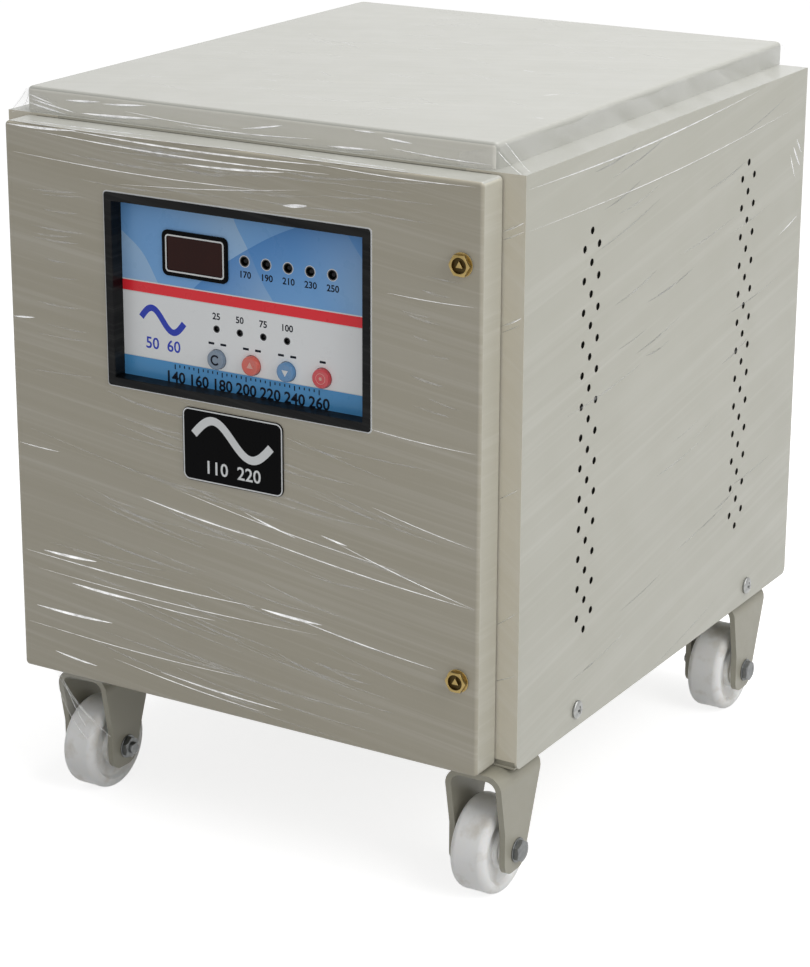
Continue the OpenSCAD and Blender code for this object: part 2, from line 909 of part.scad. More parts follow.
module display_bezel() {
  front_y = door_face - bezel_proud;
  color(black_plastic) placed() difference() {
    union() {
      facing(bezel_x, front_y, bezel_z, bezel_proud) rounded(bezel_w, bezel_h, bezel_r);
      facing(bezel_x, front_y + bezel_proud / 2, bezel_z, fascia_in + bezel_proud / 2) {
        rounded(fascia_w, fascia_h, bezel_r);
      }
    }
    facing(bezel_x, front_y - over, bezel_z, fascia_in + bezel_proud + 2 * over) {
      square([bezel_w - 2 * bezel_border, bezel_h - 2 * bezel_border], center = true);
    }
  }
}

// Round cut through the printed panel
module fascia_hole(x, z, d) {
  along_y([bezel_x + x, fascia_y - over, bezel_z + z], d, fascia_t + 2 * over);
}

module fascia_panel() {
  color("#7FA9D6") placed() difference() {
    facing(bezel_x, fascia_y, bezel_z, fascia_t) square([fascia_w, fascia_h], center = true);
    facing(bezel_x + screen_x, fascia_y - over, bezel_z + screen_up, fascia_t + 2 * over) {
      square([glass_w - sheet, glass_h - sheet], center = true);
    }
    for (i = [0 : lamp_count - 1]) fascia_hole(lamp_x + i * lamp_pitch, lamp_up, lamp_hole_d);
    for (i = [0 : small_count - 1]) fascia_hole(small_x + i * small_pitch, -small_down, small_hole_d);
    for (i = [0 : button_count - 1]) {
      fascia_hole(button_x + i * button_pitch, -button_down, button_d + 2 * part_gap);
    }
  }
}

module screen_surround() {
  color(black_plastic) placed() translate([bezel_x + screen_x, 0, bezel_z + screen_up]) difference() {
    facing(0, fascia_y - screen_proud, 0, screen_proud) rounded(screen_w, screen_h, screen_r);
    facing(0, fascia_y - screen_proud - over, 0, screen_proud + 2 * over) {
      square([glass_w, glass_h], center = true);
    }
  }
}

module screen_window() {
  depth = screen_proud / 2;
  color("#3A1214") placed() facing(bezel_x + screen_x, fascia_y - depth, bezel_z + screen_up, depth) {
    square([glass_w - fit_gap, glass_h - fit_gap], center = true);
  }
}

module digit_module() {
  color("#3B3B3B") placed() facing(bezel_x + screen_x, board_y - digit_t, bezel_z + screen_up, digit_t) {
    square([glass_w - digit_in, glass_h - digit_in], center = true);
  }
}

// Round-topped lamp standing on the control board, at a place on the printed panel
module lamp(x, z, d) {
  tip_y = fascia_y + lamp_sink;
  straight = board_y - tip_y - d / 2;
  translate([bezel_x + x, board_y, bezel_z + z]) rotate([90, 0, 0]) {
    cylinder(h = straight, d = d);
    translate([0, 0, straight]) sphere(d = d);
  }
}

module indicator_lamps() {
  color("#3D3F40") placed() {
    for (i = [0 : lamp_count - 1]) lamp(lamp_x + i * lamp_pitch, lamp_up, lamp_d);
    for (i = [0 : small_count - 1]) lamp(small_x + i * small_pitch, -small_down, small_d);
  }
}

// Push button: a cap through the panel, a rim behind it and a stem towards its switch
module push_button(i) {
  x = bezel_x + button_x + i * button_pitch;
  z = bezel_z - button_down;
  front_y = fascia_y - button_out;
  rim_y = fascia_y + fascia_t + part_gap;
  stem_y = board_y - switch_t - button_travel - part_gap;
  along_y([x, front_y, z], button_d, rim_y + button_rim_t - front_y);
  along_y([x, rim_y, z], button_d + 2 * button_rim, button_rim_t);
  along_y([x, rim_y, z], button_stem_d, stem_y - rim_y);
}

module grey_button() color("#7F8FA0") placed() push_button(0);
module orange_button() color("#D9553F") placed() push_button(1);
module blue_button() color("#5E93BF") placed() push_button(2);
module red_button() color("#D2353B") placed() push_button(3);

module control_board() {
  color("#2F5D3A") placed() facing(bezel_x, board_y, bezel_z, board_t) {
    square([board_w, board_h], center = true);
  }
}

module board_standoffs() {
  color(zinc) placed() for (sx = [-1, 1], sz = [-1, 1]) {
    x = bezel_x + sx * (board_w / 2 - standoff_in);
    z = bezel_z + sz * (board_h / 2 - standoff_in);
    along_y([x, board_y - board_gap, z], standoff_d, board_gap);
  }
}

// Block standing on the back of the control board
module board_part(place, size) {
  facing(bezel_x + place[0] * board_w, board_y + board_t, bezel_z + place[1] * board_h, size[2]) {
    square([size[0], size[1]], center = true);
  }
}

module board_components() {
  color("#39424E") placed() {
    board_part(supply_shares, supply_size);
    board_part(chip_shares, chip_size);
    board_part(left_socket_shares, left_socket_size);
    board_part(right_socket_shares, right_socket_size);
    for (share = relay_shares) board_part([share, relay_up_share], relay_size);
    for (p = cap_shares) {
      along_y([bezel_x + p[0] * board_w, board_y + board_t, bezel_z + p[1] * board_h], cap_d, cap_l);
    }
    for (i = [0 : button_count - 1]) {
      facing(bezel_x + button_x + i * button_pitch, board_y - switch_t, bezel_z - button_down, switch_t) {
        square([switch_side, switch_side], center = true);
      }
    }
  }
}

// Regulator

// Puts a piece drawn about the regulator's axis, from the base pan's top, in its place
module on_regulator(z) {
  placed() translate([reg_x, reg_y, z]) children();
}

module regulator_frame() {
  color("#8E9296") on_regulator(pan_top) difference() {
    union() {
      cylinder(h = frame_t, d = frame_d);
      cylinder(h = frame_t + column_l, d = column_d);
    }
    translate([0, 0, frame_t]) cylinder(h = column_l + over, d = shaft_d + 2 * run_gap);
  }
}

// Ring of rectangular section about Z
module ring(outer_d, inner_d, h) {
  difference() {
    cylinder(h = h, d = outer_d);
    translate([0, 0, -over]) cylinder(h = h + 2 * over, d = inner_d);
  }
}

// Toroidal core, which the winding wraps on every side
module core_ring() {
  ring(wind_d - 2 * core_wall, wind_hole_d + 2 * core_wall, wind_h - 2 * core_wall);
}

module regulator_core() {
  color("#5A5C60") on_regulator(wind_z + core_wall) core_ring();
}

module regulator_winding() {
  color("#A85F32") on_regulator(wind_z) difference() {
    cylinder(h = wind_h, d = wind_d);
    translate([0, 0, -over]) cylinder(h = wind_h + 2 * over, d = wind_hole_d);
    translate([0, 0, core_wall]) core_ring();
  }
}

module regulator_shaft() {
  low = pan_top + frame_t + part_gap;
  high = bridge_z + bridge_t + motor_socket - part_gap;
  color("#A9ABAD") on_regulator(low) cylinder(h = high - low, d = shaft_d);
}

module brush_arm() {
  color("#9B8B6A") on_regulator(arm_z) difference() {
    union() {
      cylinder(h = arm_t, d = arm_hub_d);
      span([-arm_tail, -arm_wide / 2, 0], [brush_r + brush_l, arm_wide / 2, arm_t]);
    }
    translate([0, 0, -over]) cylinder(h = arm_t + 2 * over, d = shaft_d);
    span([brush_r - brush_l / 2, -brush_w / 2, -over], [brush_r + brush_l / 2, brush_w / 2, arm_t + over]);
  }
}

module carbon_brush() {
  high = arm_z + arm_t + brush_over - wind_z - wind_h - part_gap;
  color("#2B2B2C") on_regulator(wind_z + wind_h + part_gap) {
    span([brush_r - brush_l / 2, -brush_w / 2, 0], [brush_r + brush_l / 2, brush_w / 2, high]);
  }
}

module motor_bridge() {
  half = wind_d / 2 + bridge_gap;
  rise = bridge_z - pan_top;
  side = bridge_w / 2;
  color("#A7A9A6") on_regulator(pan_top) difference() {
    union() {
      span([-side, -half - bridge_t, rise], [side, half + bridge_t, rise + bridge_t]);
      for (s = [-1, 1]) {
        span([-side, s * half, 0], [side, s * (half + bridge_t), rise + bridge_t]);
        span([-side, s * half, 0], [side, s * (half + bridge_foot), bridge_t]);
      }
    }
    cylinder(h = 2 * rise, d = shaft_d + 4 * part_gap);
  }
}

module servo_motor() {
  color("#6E7276") on_regulator(bridge_z + bridge_t) difference() {
    union() {
      cylinder(h = gearbox_h, d = gearbox_d);
      translate([0, 0, gearbox_h]) cylinder(h = motor_h, d = motor_d);
      translate([0, 0, gearbox_h + motor_h]) cylinder(h = sheet, d = motor_d - 4 * bridge_t);
    }
    translate([0, 0, -over]) cylinder(h = motor_socket + over, d = shaft_d + 2 * run_gap);
  }
}

// Transformer

// Puts a piece drawn from the middle of the core's underside in its place
module on_transformer() {
  placed() translate([trf_x, trf_y, core_z]) children();
}

function tie_places() = [
  for (s = [-1, 1], z = [yoke / 2, core_h - yoke / 2]) [s * (core_w - yoke) / 2, z]
];

module transformer_core() {
  color("#6B6D70") on_transformer() difference() {
    span([-core_w / 2, -core_d / 2, 0], [core_w / 2, core_d / 2, core_h]);
    for (s = [-1, 1]) {
      near = s * half_limb;
      far = s * (half_limb + window_w);
      span([near, -core_d / 2 - over, yoke], [far, core_d / 2 + over, yoke + window_h]);
    }
    for (p = tie_places()) {
      along_y([p[0], -core_d / 2 - over, p[1]], tie_d + 2 * fit_gap, core_d + 2 * over);
    }
  }
}

module transformer_coil() {
  out = half_limb + window_w - coil_gap;
  deep = core_d / 2 + coil_over;
  bore_w = half_limb + coil_gap;
  bore_d = core_d / 2 + coil_gap;
  color("#B0763F") on_transformer() difference() {
    span([-out, -deep, yoke + coil_gap], [out, deep, yoke + window_h - coil_gap]);
    span([-bore_w, -bore_d, yoke], [bore_w, bore_d, yoke + window_h]);
  }
}

module transformer_clamps() {
  color("#9EA19E") on_transformer() for (s = [-1, 1]) {
    face = s * core_d / 2;
    difference() {
      union() {
        span([-core_w / 2, face, -clamp_t], [core_w / 2, face + s * clamp_t, clamp_h - clamp_t]);
        span([-core_w / 2, face, -clamp_t], [core_w / 2, face + s * clamp_w, 0]);
      }
      for (p = tie_places()) along_y([p[0], -core_d, p[1]], tie_d + 2 * fit_gap, 2 * core_d);
    }
  }
  color(zinc) on_transformer() for (p = tie_places()) {
    low = p[1] < clamp_h ? clamp_t : 0;
    half = core_d / 2 + low + run_gap;
    along_y([p[0], -half, p[1]], tie_d, 2 * half);
    for (y = [-half, half + tie_head_h]) {
      translate([p[0], y, p[1]]) rotate([90, 0, 0]) hexagon(tie_head_af, tie_head_h);
    }
  }
}

// Switchgear

module switch_plate() {
  color(paint) placed() {
    span([-plate_w / 2, plate_y, pan_top], [plate_w / 2, plate_y + sheet, pan_top + plate_h]);
    span([-plate_w / 2, plate_y, pan_top], [plate_w / 2, plate_y + plate_foot, pan_top + sheet]);
  }
}

module din_rail() {
  half = rail_width / 2;
  lip = rail_width / 5;
  x0 = breaker_x - rail_len / 2;
  x1 = breaker_x + rail_len / 2 - breaker_w / 2;
  front_y = plate_y - rail_depth;
  color(zinc) placed() {
    span([x0, plate_y - rail_sheet, breaker_z + lip - half], [x1, plate_y, breaker_z + half - lip]);
    for (s = [-1, 1]) {
      outer = breaker_z + s * (half - lip);
      inner = outer - s * rail_sheet;
      span([x0, front_y, outer], [x1, plate_y, inner]);
      span([x0, front_y, inner], [x1, front_y + rail_sheet, breaker_z + s * half]);
    }
  }
}

module breaker_body() {
  side = breaker_w / 2;
  cave_y = toggle_y + toggle_d / 2 + part_gap;
  cave_z = toggle_cave / 2;
  color("#D9D9D6") placed() translate([breaker_x, 0, breaker_z]) difference() {
    union() {
      span([-side, breaker_y, -breaker_h / 2], [side, breaker_y + breaker_back, breaker_h / 2]);
      span([-side, breaker_y - breaker_nose, -breaker_nose_h / 2], [side, breaker_y, breaker_nose_h / 2]);
    }
    span([-cave_side, toggle_y - toggle_in - over, -cave_z], [cave_side, cave_y, cave_z]);
    along_x([-pivot_half - part_gap, toggle_y, 0], toggle_in + 2 * run_gap, 2 * (pivot_half + part_gap));
  }
}

module breaker_toggle() {
  side = toggle_w / 2;
  color(black_plastic) placed() translate([breaker_x, toggle_y, breaker_z]) {
    along_x([-side, 0, 0], toggle_d, toggle_w);
    along_x([-pivot_half, 0, 0], toggle_in, 2 * pivot_half);
    rotate([-toggle_rest, 0, 0]) {
      span([lever_in - side, -toggle_reach, -toggle_t / 2], [side - lever_in, 0, toggle_t / 2]);
    }
  }
}

module terminal_block() {
  pitch = term_w / term_count;
  mids = [for (i = [0 : term_count - 1]) (i + 0.5) * pitch - term_w / 2];
  side = term_well_w / 2;
  color("#2E3033") placed() translate([term_x, plate_y - term_d, pan_top + term_up]) {
    difference() {
      span([-term_w / 2, 0, -term_h / 2], [term_w / 2, term_d, term_h / 2]);
      for (x = mids) span([x - side, -over, -term_well_h / 2], [x + side, term_well_d, term_well_h / 2]);
    }
    for (x = mids) along_y([x, term_well_d - term_screw_h, 0], term_screw_d, term_screw_h);
  }
}

// Rear fittings

module cable_glands() {
  inner = sheet + gland_thread_l;
  total = inner + gland_hex_h + gland_cap_h;
  color(black_plastic) placed() for (s = [-1, 1]) {
    translate([s * gland_x, rear_face, base_z + gland_up]) rotate([-90, 0, 0]) {
      difference() {
        union() {
          hexagon(gland_af, gland_hex_h);
          along_z([0, 0, -inner], gland_thread_d, inner + gland_hex_h / 2);
          along_z([0, 0, gland_hex_h], gland_cap_d, gland_cap_h);
        }
        along_z([0, 0, -inner - over], gland_bore, total + 2 * over);
      }
      translate([0, 0, -sheet - gland_nut_h]) difference() {
        hexagon(gland_af, gland_nut_h);
        along_z([0, 0, -over], gland_thread_d + 2 * run_gap, gland_nut_h + 2 * over);
      }
    }
  }
}

module earth_stud() {
  inner = sheet + stud_inner;
  color(brass_look) placed() translate([stud_x, rear_face, base_z + stud_up]) rotate([-90, 0, 0]) {
    along_z([0, 0, -inner], stud_d, inner + stud_flange_t + stud_l);
    for (z = [0, -sheet - stud_flange_t]) translate([0, 0, z]) hexagon(stud_flange_d, stud_flange_t);
  }
}

base_pan();
left_side_panel();
right_side_panel();
rear_panel();
front_frame();
top_cover();
case_screws();
front_left_fork();
front_right_fork();
rear_left_fork();
rear_right_fork();
front_left_wheel();
front_right_wheel();
rear_left_wheel();
rear_right_wheel();
axle_sleeves();
axle_bolts();
axle_nuts();
fork_fasteners();
door_panel();
hinge_arms();
hinge_pins();
hinge_lugs();
upper_latch_spindle();
upper_latch_cam();
lower_latch_spindle();
lower_latch_cam();
latch_bushes();
badge_plate();
display_bezel();
fascia_panel();
screen_surround();
screen_window();
digit_module();
indicator_lamps();
grey_button();
orange_button();
blue_button();
red_button();
control_board();
board_standoffs();
board_components();
regulator_frame();
regulator_core();
regulator_winding();
regulator_shaft();
brush_arm();
carbon_brush();
motor_bridge();
servo_motor();
transformer_core();
transformer_coil();
transformer_clamps();
switch_plate();
din_rail();
breaker_body();
breaker_toggle();
terminal_block();
cable_glands();
earth_stud();
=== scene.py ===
"""Looks of a servo voltage stabilizer: a folded sheet-steel case on casters, wrapped in clear film.

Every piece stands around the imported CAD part. Sizes are millimetres in the drawing's own planes
(x from the case's middle, y from its front strip, z from the floor) and become metres at the end.
"""
import logging
import math
import random
from collections.abc import Callable, Iterable, Sequence
from dataclasses import dataclass
from enum import Enum

import bmesh
import bpy
from mathutils import Matrix, Vector


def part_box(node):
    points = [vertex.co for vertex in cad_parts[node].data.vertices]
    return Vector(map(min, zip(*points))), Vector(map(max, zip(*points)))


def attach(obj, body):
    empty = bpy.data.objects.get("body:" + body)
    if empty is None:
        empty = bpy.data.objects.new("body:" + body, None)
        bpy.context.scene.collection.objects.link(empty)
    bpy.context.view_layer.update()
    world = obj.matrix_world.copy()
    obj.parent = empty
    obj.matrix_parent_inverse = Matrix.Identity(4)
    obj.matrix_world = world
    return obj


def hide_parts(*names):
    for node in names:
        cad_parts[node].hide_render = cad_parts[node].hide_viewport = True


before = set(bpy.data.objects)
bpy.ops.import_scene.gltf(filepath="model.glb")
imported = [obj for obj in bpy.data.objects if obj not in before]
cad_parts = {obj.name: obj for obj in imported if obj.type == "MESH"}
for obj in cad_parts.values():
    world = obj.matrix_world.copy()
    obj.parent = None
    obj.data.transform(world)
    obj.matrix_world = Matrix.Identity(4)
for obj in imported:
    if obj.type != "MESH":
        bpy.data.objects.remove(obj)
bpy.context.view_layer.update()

MM = 0.001
CAB_W, CAB_D, BASE_Z, TOP_Z = 380.0, 410.0, 87.0, 462.0
RIGHT = CAB_W / 2
SHEET = 1.5
DOOR_FACE = -23.6
INK = 0.05
HOME = Vector((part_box("right_side_panel")[1].x / MM - RIGHT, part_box("right_side_panel")[0].y / MM, 0.0))
UPRIGHT = Matrix.Identity(4)

Pair = tuple[float, float]
Row = tuple[float, float, float, int]
Flat = Sequence[Pair]
Point = Sequence[float]
Triple = tuple[float, float, float]
Socket = bpy.types.NodeSocket

log = logging.getLogger("stabilizer")


class Facing(Enum):
    """The way that a flat shape looks: columns are its right, its up and its outward direction."""

    FRONT = ((1, 0, 0), (0, 0, 1), (0, -1, 0))
    REAR = ((-1, 0, 0), (0, 0, 1), (0, 1, 0))
    RIGHT = ((0, 1, 0), (0, 0, 1), (1, 0, 0))
    LEFT = ((0, -1, 0), (0, 0, 1), (-1, 0, 0))
    TOP = ((1, 0, 0), (0, 1, 0), (0, 0, 1))

    def at(self, x: float, y: float, z: float, turn: float = 0.0) -> Matrix:
        """Gives the matrix that puts a flat shape at a place of the drawing, turned in its own plane."""
        basis = Matrix(self.value).transposed().to_4x4()
        return Matrix.Translation((x, y, z)) @ basis @ Matrix.Rotation(math.radians(turn), 4, "Z")


def shifted(place: Matrix, x: float, y: float, z: float) -> Matrix:
    """Moves a place along its own axes."""
    return place @ Matrix.Translation((x, y, z))


def node_box(node: str) -> tuple[Vector, Vector]:
    """Gives a CAD node's lowest and highest corners in drawing mm."""
    low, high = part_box(node)
    return low / MM - HOME, high / MM - HOME


def linear(code: str) -> tuple[float, float, float, float]:
    """Turns an sRGB hex colour into linear light with full alpha."""
    parts = [int(code[i:i + 2], 16) / 255 for i in (1, 3, 5)]
    light = [c / 12.92 if c <= 0.04045 else ((c + 0.055) / 1.055) ** 2.4 for c in parts]
    return (light[0], light[1], light[2], 1.0)


def add_node(tree: bpy.types.NodeTree, kind: str, settings: dict | None = None,
             links: dict | None = None) -> bpy.types.Node:
    """Adds a node, sets its values and feeds its inputs.

    Args:
        tree: Tree that takes the node.
        kind: Blender's name of the node type.
        settings: Properties by name, and unlinked inputs by name or number.
        links: Source sockets by the input's name or number.

    Returns:
        The new node.
    """
    node = tree.nodes.new(kind)
    for key, value in (settings or {}).items():
        if isinstance(key, int) or key in node.inputs:
            node.inputs[key].default_value = value
        else:
            setattr(node, key, value)
    for key, source in (links or {}).items():
        tree.links.new(source, node.inputs[key])
    return node


# Finishes


class Weave:
    """A material's nodes under construction, whose patterns lie in the object's own coordinates."""

    def __init__(self, material: bpy.types.Material) -> None:
        """Finds the shader and adds the coordinates."""
        self.tree = material.node_tree
        self.shader = self.tree.nodes["Principled BSDF"]
        self.place = add_node(self.tree, "ShaderNodeTexCoord").outputs["Object"]

    def fix(self, values: dict[str, object]) -> None:
        """Sets constants on the shader's own sockets."""
        for name, value in values.items():
            self.shader.inputs[name].default_value = value

    def feed(self, name: str, source: Socket) -> None:
        """Links a pattern to one of the shader's sockets."""
        self.tree.links.new(source, self.shader.inputs[name])

    def mask(self, size_mm: float, detail: float = 3.0) -> Socket:
        """Gives a soft random pattern, 0 to 1, whose blotches have about the given size."""
        settings = {"Scale": 1 / (size_mm * MM), "Detail": detail}
        return add_node(self.tree, "ShaderNodeTexNoise", settings, {"Vector": self.place}).outputs["Fac"]

    def laid(self, settings: dict) -> Socket:
        """Gives the coordinates moved, turned or stretched."""
        return add_node(self.tree, "ShaderNodeMapping", settings, {"Vector": self.place}).outputs["Vector"]

    def blend(self, factor: Socket, low: str | Socket, high: str) -> Socket:
        """Mixes a colour or socket with a second colour by a pattern."""
        settings = {"data_type": "RGBA", 7: linear(high)}
        links = {0: factor}
        if isinstance(low, str):
            settings[6] = linear(low)
        else:
            links[6] = low
        return add_node(self.tree, "ShaderNodeMix", settings, links).outputs[2]

    def spread(self, source: Socket, low: float, high: float, start: float = 0.35,
               end: float = 0.65) -> Socket:
        """Stretches a pattern from start..end to low..high, and holds it there."""
        settings = {"clamp": True, "From Min": start, "From Max": end, "To Min": low, "To Max": high}
        return add_node(self.tree, "ShaderNodeMapRange", settings, {"Value": source}).outputs["Result"]

    def bump(self, height: Socket, distance_mm: float) -> Socket:
        """Turns a pattern into relief of the given depth."""
        settings = {"Strength": 1.0, "Distance": distance_mm * MM}
        return add_node(self.tree, "ShaderNodeBump", settings, {"Height": height}).outputs["Normal"]


@dataclass(frozen=True)
class Finish:
    """A surface as it is made: colour, gloss and the small relief that its process leaves."""

    name: str
    colour: str
    shade: str
    roughness: float
    grain_mm: float = 1.0
    relief_mm: float = 0.01
    patch_mm: float = 60.0
    metallic: float = 0.0
    shine: float = 0.5

    def material(self) -> bpy.types.Material:
        """Gives the finish's material, made at its first use."""
        made = bpy.data.materials.get(self.name)
        if made:
            return made
        made = bpy.data.materials.new(self.name)
        made.use_nodes = True
        made.diffuse_color = linear(self.colour)
        weave = Weave(made)
        weave.fix({"Metallic": self.metallic, "Specular IOR Level": self.shine})
        weave.feed("Base Color", self.tone(weave))
        uneven = weave.mask(self.patch_mm / 4)
        weave.feed("Roughness", weave.spread(uneven, self.roughness * 0.9, self.roughness * 1.12))
        weave.feed("Normal", self.relief(weave))
        self.dress(weave)
        return made

    def tone(self, weave: Weave) -> Socket:
        """Gives the colour, which drifts a little between two shades."""
        return weave.blend(weave.mask(self.patch_mm), self.shade, self.colour)

    def relief(self, weave: Weave) -> Socket:
        """Gives the surface's small relief as a bump."""
        return weave.bump(weave.mask(self.grain_mm, 2.0), self.relief_mm)

    def dress(self, weave: Weave) -> None:
        """Adds what only some finishes have; a plain finish has nothing more."""


@dataclass(frozen=True)
class WrappedPaint(Finish):
    """Powder coat under clear stretch film, whose fine wrinkles run one way across each panel."""

    roughness: float = 0.44
    grain_mm: float = 1.4
    relief_mm: float = 0.02
    patch_mm: float = 120.0
    shine: float = 0.3
    turn: Triple = (0.0, 0.0, 0.0)
    run: Triple = (0.3, 0.3, 0.004)
    haze_and_glint: float = 0.3
    coat: float = 0.35

    def streaks(self, weave: Weave, grow: float) -> Socket:
        """Gives the wrinkles' height: long ridges across the run's short side."""
        angles = [math.radians(a) for a in self.turn]
        sizes = [r * grow for r in self.run]
        laid = weave.laid({"vector_type": "TEXTURE", "Rotation": angles, "Scale": sizes})
        settings = {"Scale": 1.0, "Detail": 4.0, "Roughness": 0.55, "Distortion": 0.4}
        return add_node(weave.tree, "ShaderNodeTexNoise", settings, {"Vector": laid}).outputs["Fac"]

    def tone(self, weave: Weave) -> Socket:
        """Gives the paint's colour with pale streaks along the film's wrinkles, partly the film's own haze and
        partly painted glints.
        """
        fine = weave.spread(self.streaks(weave, 1.0), 0.0, self.haze_and_glint, 0.5, 0.78)
        wide = weave.spread(self.streaks(weave, 4.0), 0.0, self.haze_and_glint * 0.7, 0.45, 0.8)
        return weave.blend(wide, weave.blend(fine, super().tone(weave), "#F1F0EC"), "#EDECE6")

    def dress(self, weave: Weave) -> None:
        """Lays the film over the paint as a clear coat with wrinkles of its own."""
        weave.fix({"Coat Weight": self.coat, "Coat Roughness": 0.2})
        weave.feed("Coat Normal", weave.bump(self.streaks(weave, 1.6), 0.5))


@dataclass(frozen=True)
class Nylon(Finish):
    """Moulded white nylon: milky, a little waxy, with faint warm stains from handling."""

    def tone(self, weave: Weave) -> Socket:
        """Gives the milky white with its stains."""
        stain = weave.spread(weave.mask(14.0, 4.0), 0.0, 0.55, 0.52, 0.72)
        return weave.blend(stain, super().tone(weave), "#C9C2B4")

    def dress(self, weave: Weave) -> None:
        """Lets light a little way into the plastic."""
        depths = (0.004, 0.0035, 0.003)
        weave.fix({"Subsurface Weight": 0.25, "Subsurface Radius": depths, "Subsurface Scale": 1.0})


@dataclass(frozen=True)
class Glossy(Finish):
    """A plastic or lacquer under a clear smooth top, which gives it a second, sharper gloss."""

    roughness: float = 0.3
    grain_mm: float = 0.7
    relief_mm: float = 0.006
    patch_mm: float = 6.0
    coat: float = 0.6

    def dress(self, weave: Weave) -> None:
        """Adds the clear top."""
        weave.fix({"Coat Weight": self.coat, "Coat Roughness": 0.08})


@dataclass(frozen=True)
class Print(Glossy):
    """Screen print: an even film of ink with a low gloss."""

    grain_mm: float = 0.9
    relief_mm: float = 0.004
    patch_mm: float = 40.0
    shine: float = 0.25
    coat: float = 0.1


@dataclass(frozen=True)
class SkyPrint(Print):
    """Screen print of a sky blue that lightens and darkens in wide soft sweeps."""

    sweep: str = "#B2D3F3"
    deep: str = "#458BD4"

    def arcs(self, weave: Weave, shift: Pair, turn: float, scale: float, bend: float, fine: float) -> Socket:
        """Gives wide arcs about a point beside the panel's middle, each with one sharper side."""
        middle = (HOME + Vector((1.0, 0.0, 360.7))) * MM
        place = {"Location": (shift[0] - middle.x, 0.0, shift[1] - middle.z), "Rotation": (0.0, turn, 0.0)}
        settings = {"wave_type": "RINGS", "rings_direction": "Y", "wave_profile": "SAW", "Scale": scale}
        settings |= {"Distortion": bend, "Detail": 1.0, "Detail Scale": fine}
        links = {"Vector": weave.laid(place)}
        return add_node(weave.tree, "ShaderNodeTexWave", settings, links).outputs["Fac"]

    def tone(self, weave: Weave) -> Socket:
        """Gives the two sweeps over the print's own blue."""
        base = weave.blend(weave.mask(40.0, 2.0), self.shade, self.colour)
        pale = weave.spread(self.arcs(weave, (0.15, 0.06), 0.35, 4.2, 1.4, 3.0), 0.0, 0.75, 0.35, 1.0)
        dark = weave.spread(self.arcs(weave, (-0.1, 0.14), 0.0, 3.1, 0.8, 2.0), 0.0, 0.8, 0.55, 1.0)
        return weave.blend(dark, weave.blend(pale, base, self.sweep), self.deep)


@dataclass(frozen=True)
class Lined(Finish):
    """Stacked and varnished sheets: many fine parallel lines."""

    line_mm: float = 1.6
    turn: Triple = (90.0, 0.0, 0.0)
    depth_mm: float = 0.12
    dark: str = "#35363A"

    def lines(self, weave: Weave) -> Socket:
        """Gives the lines' profile, which repeats along the turned Z direction."""
        laid = weave.laid({"Rotation": [math.radians(a) for a in self.turn]})
        wave = {"bands_direction": "Z", "Scale": 0.3142 / (self.line_mm * MM)}
        wave |= {"Distortion": 0.25, "Detail": 1.0}
        return add_node(weave.tree, "ShaderNodeTexWave", wave, {"Vector": laid}).outputs["Fac"]

    def tone(self, weave: Weave) -> Socket:
        """Gives the colour, darker between the lines."""
        groove = weave.spread(self.lines(weave), 0.5, 0.0, 0.0, 0.5)
        return weave.blend(groove, super().tone(weave), self.dark)

    def relief(self, weave: Weave) -> Socket:
        """Gives the lines' relief."""
        return weave.bump(self.lines(weave), self.depth_mm)


@dataclass(frozen=True)
class ClearFilm(Finish):
    """Clear polythene stretch film: nearly invisible face on, white where it is bunched or catches light."""

    alpha: float = 0.2

    def dress(self, weave: Weave) -> None:
        """Makes the film see-through, denser along its folds."""
        dense = weave.spread(weave.mask(self.grain_mm, 4.0), self.alpha * 0.5, self.alpha * 1.6)
        weave.feed("Alpha", dense)


# Powder coat, warm light grey, under film: a soft satin face with long faint pale streaks, partly film haze
# and partly painted glints. The copies below differ by painted light: lighter on the strip, the door's right
# edge and the cover's front rim, cooler on faces turned up
DOOR_PAINT = WrappedPaint(
    "powder_coat_door_under_film", "#B5AF9E", "#AEA897", turn=(0, 7, 0), run=(0.26, 0.3, 0.0034), haze_and_glint=0.17)
SIDE_PAINT = WrappedPaint(
    "powder_coat_side_under_film", "#BAB9AD", "#B3B2A6", turn=(9, 0, 0), run=(0.3, 0.34, 0.007), haze_and_glint=0.12)
# The cover's copy is cooler, as light from above falls on it, and also goes on other faces turned up: painted
# light
COVER_PAINT = WrappedPaint(
    "powder_coat_cover_under_film", "#B5B5AE", "#B0B0A8", 0.42,
    turn=(0, 0, 24), run=(0.3, 0.01, 0.3), haze_and_glint=0.05)
# The front strip's copy is lighter: painted light where the strip catches light from the right
STRIP_LIT_PAINT = WrappedPaint(
    "powder_coat_strip_painted_light", "#DCD6C5", "#D4CEBD", turn=(0, 38, 0), run=(0.12, 0.3, 0.004), haze_and_glint=0.16)
# The door's right edge copy is lighter: painted light from the right
DOOR_EDGE_LIT_PAINT = WrappedPaint(
    "powder_coat_door_edge_painted_light", "#C6C3B5", "#BEBBAD", run=(0.12, 0.12, 0.004), haze_and_glint=0.14)
# The cover's front rim copy is much lighter: painted light, with the film's glints painted in
COVER_EDGE_LIT_PAINT = WrappedPaint(
    "powder_coat_cover_edge_painted_light", "#E3E1D8", "#DBD9CF", 0.42,
    patch_mm=60, turn=(0, 2, 0), run=(0.1, 0.3, 0.003))
# The same paint with no film, inside the case and on the casters: satin and slightly pebbled
BARE_PAINT = Finish("powder_coat_bare", "#B0AD9F", "#A8A597", 0.46, 1.4, 0.02, 80, shine=0.4)
# The casters' copy is darker: painted shade under the case
CASTER_SHADED_PAINT = Finish("powder_coat_caster_painted_shade", "#A5A294", "#9C998B", 0.42, 1.2, 0.03, 30, shine=0.4)
NYLON = Nylon("moulded_nylon", "#FAFAF9", "#F1F1EF", 0.42, 2.2, 0.05, 25)
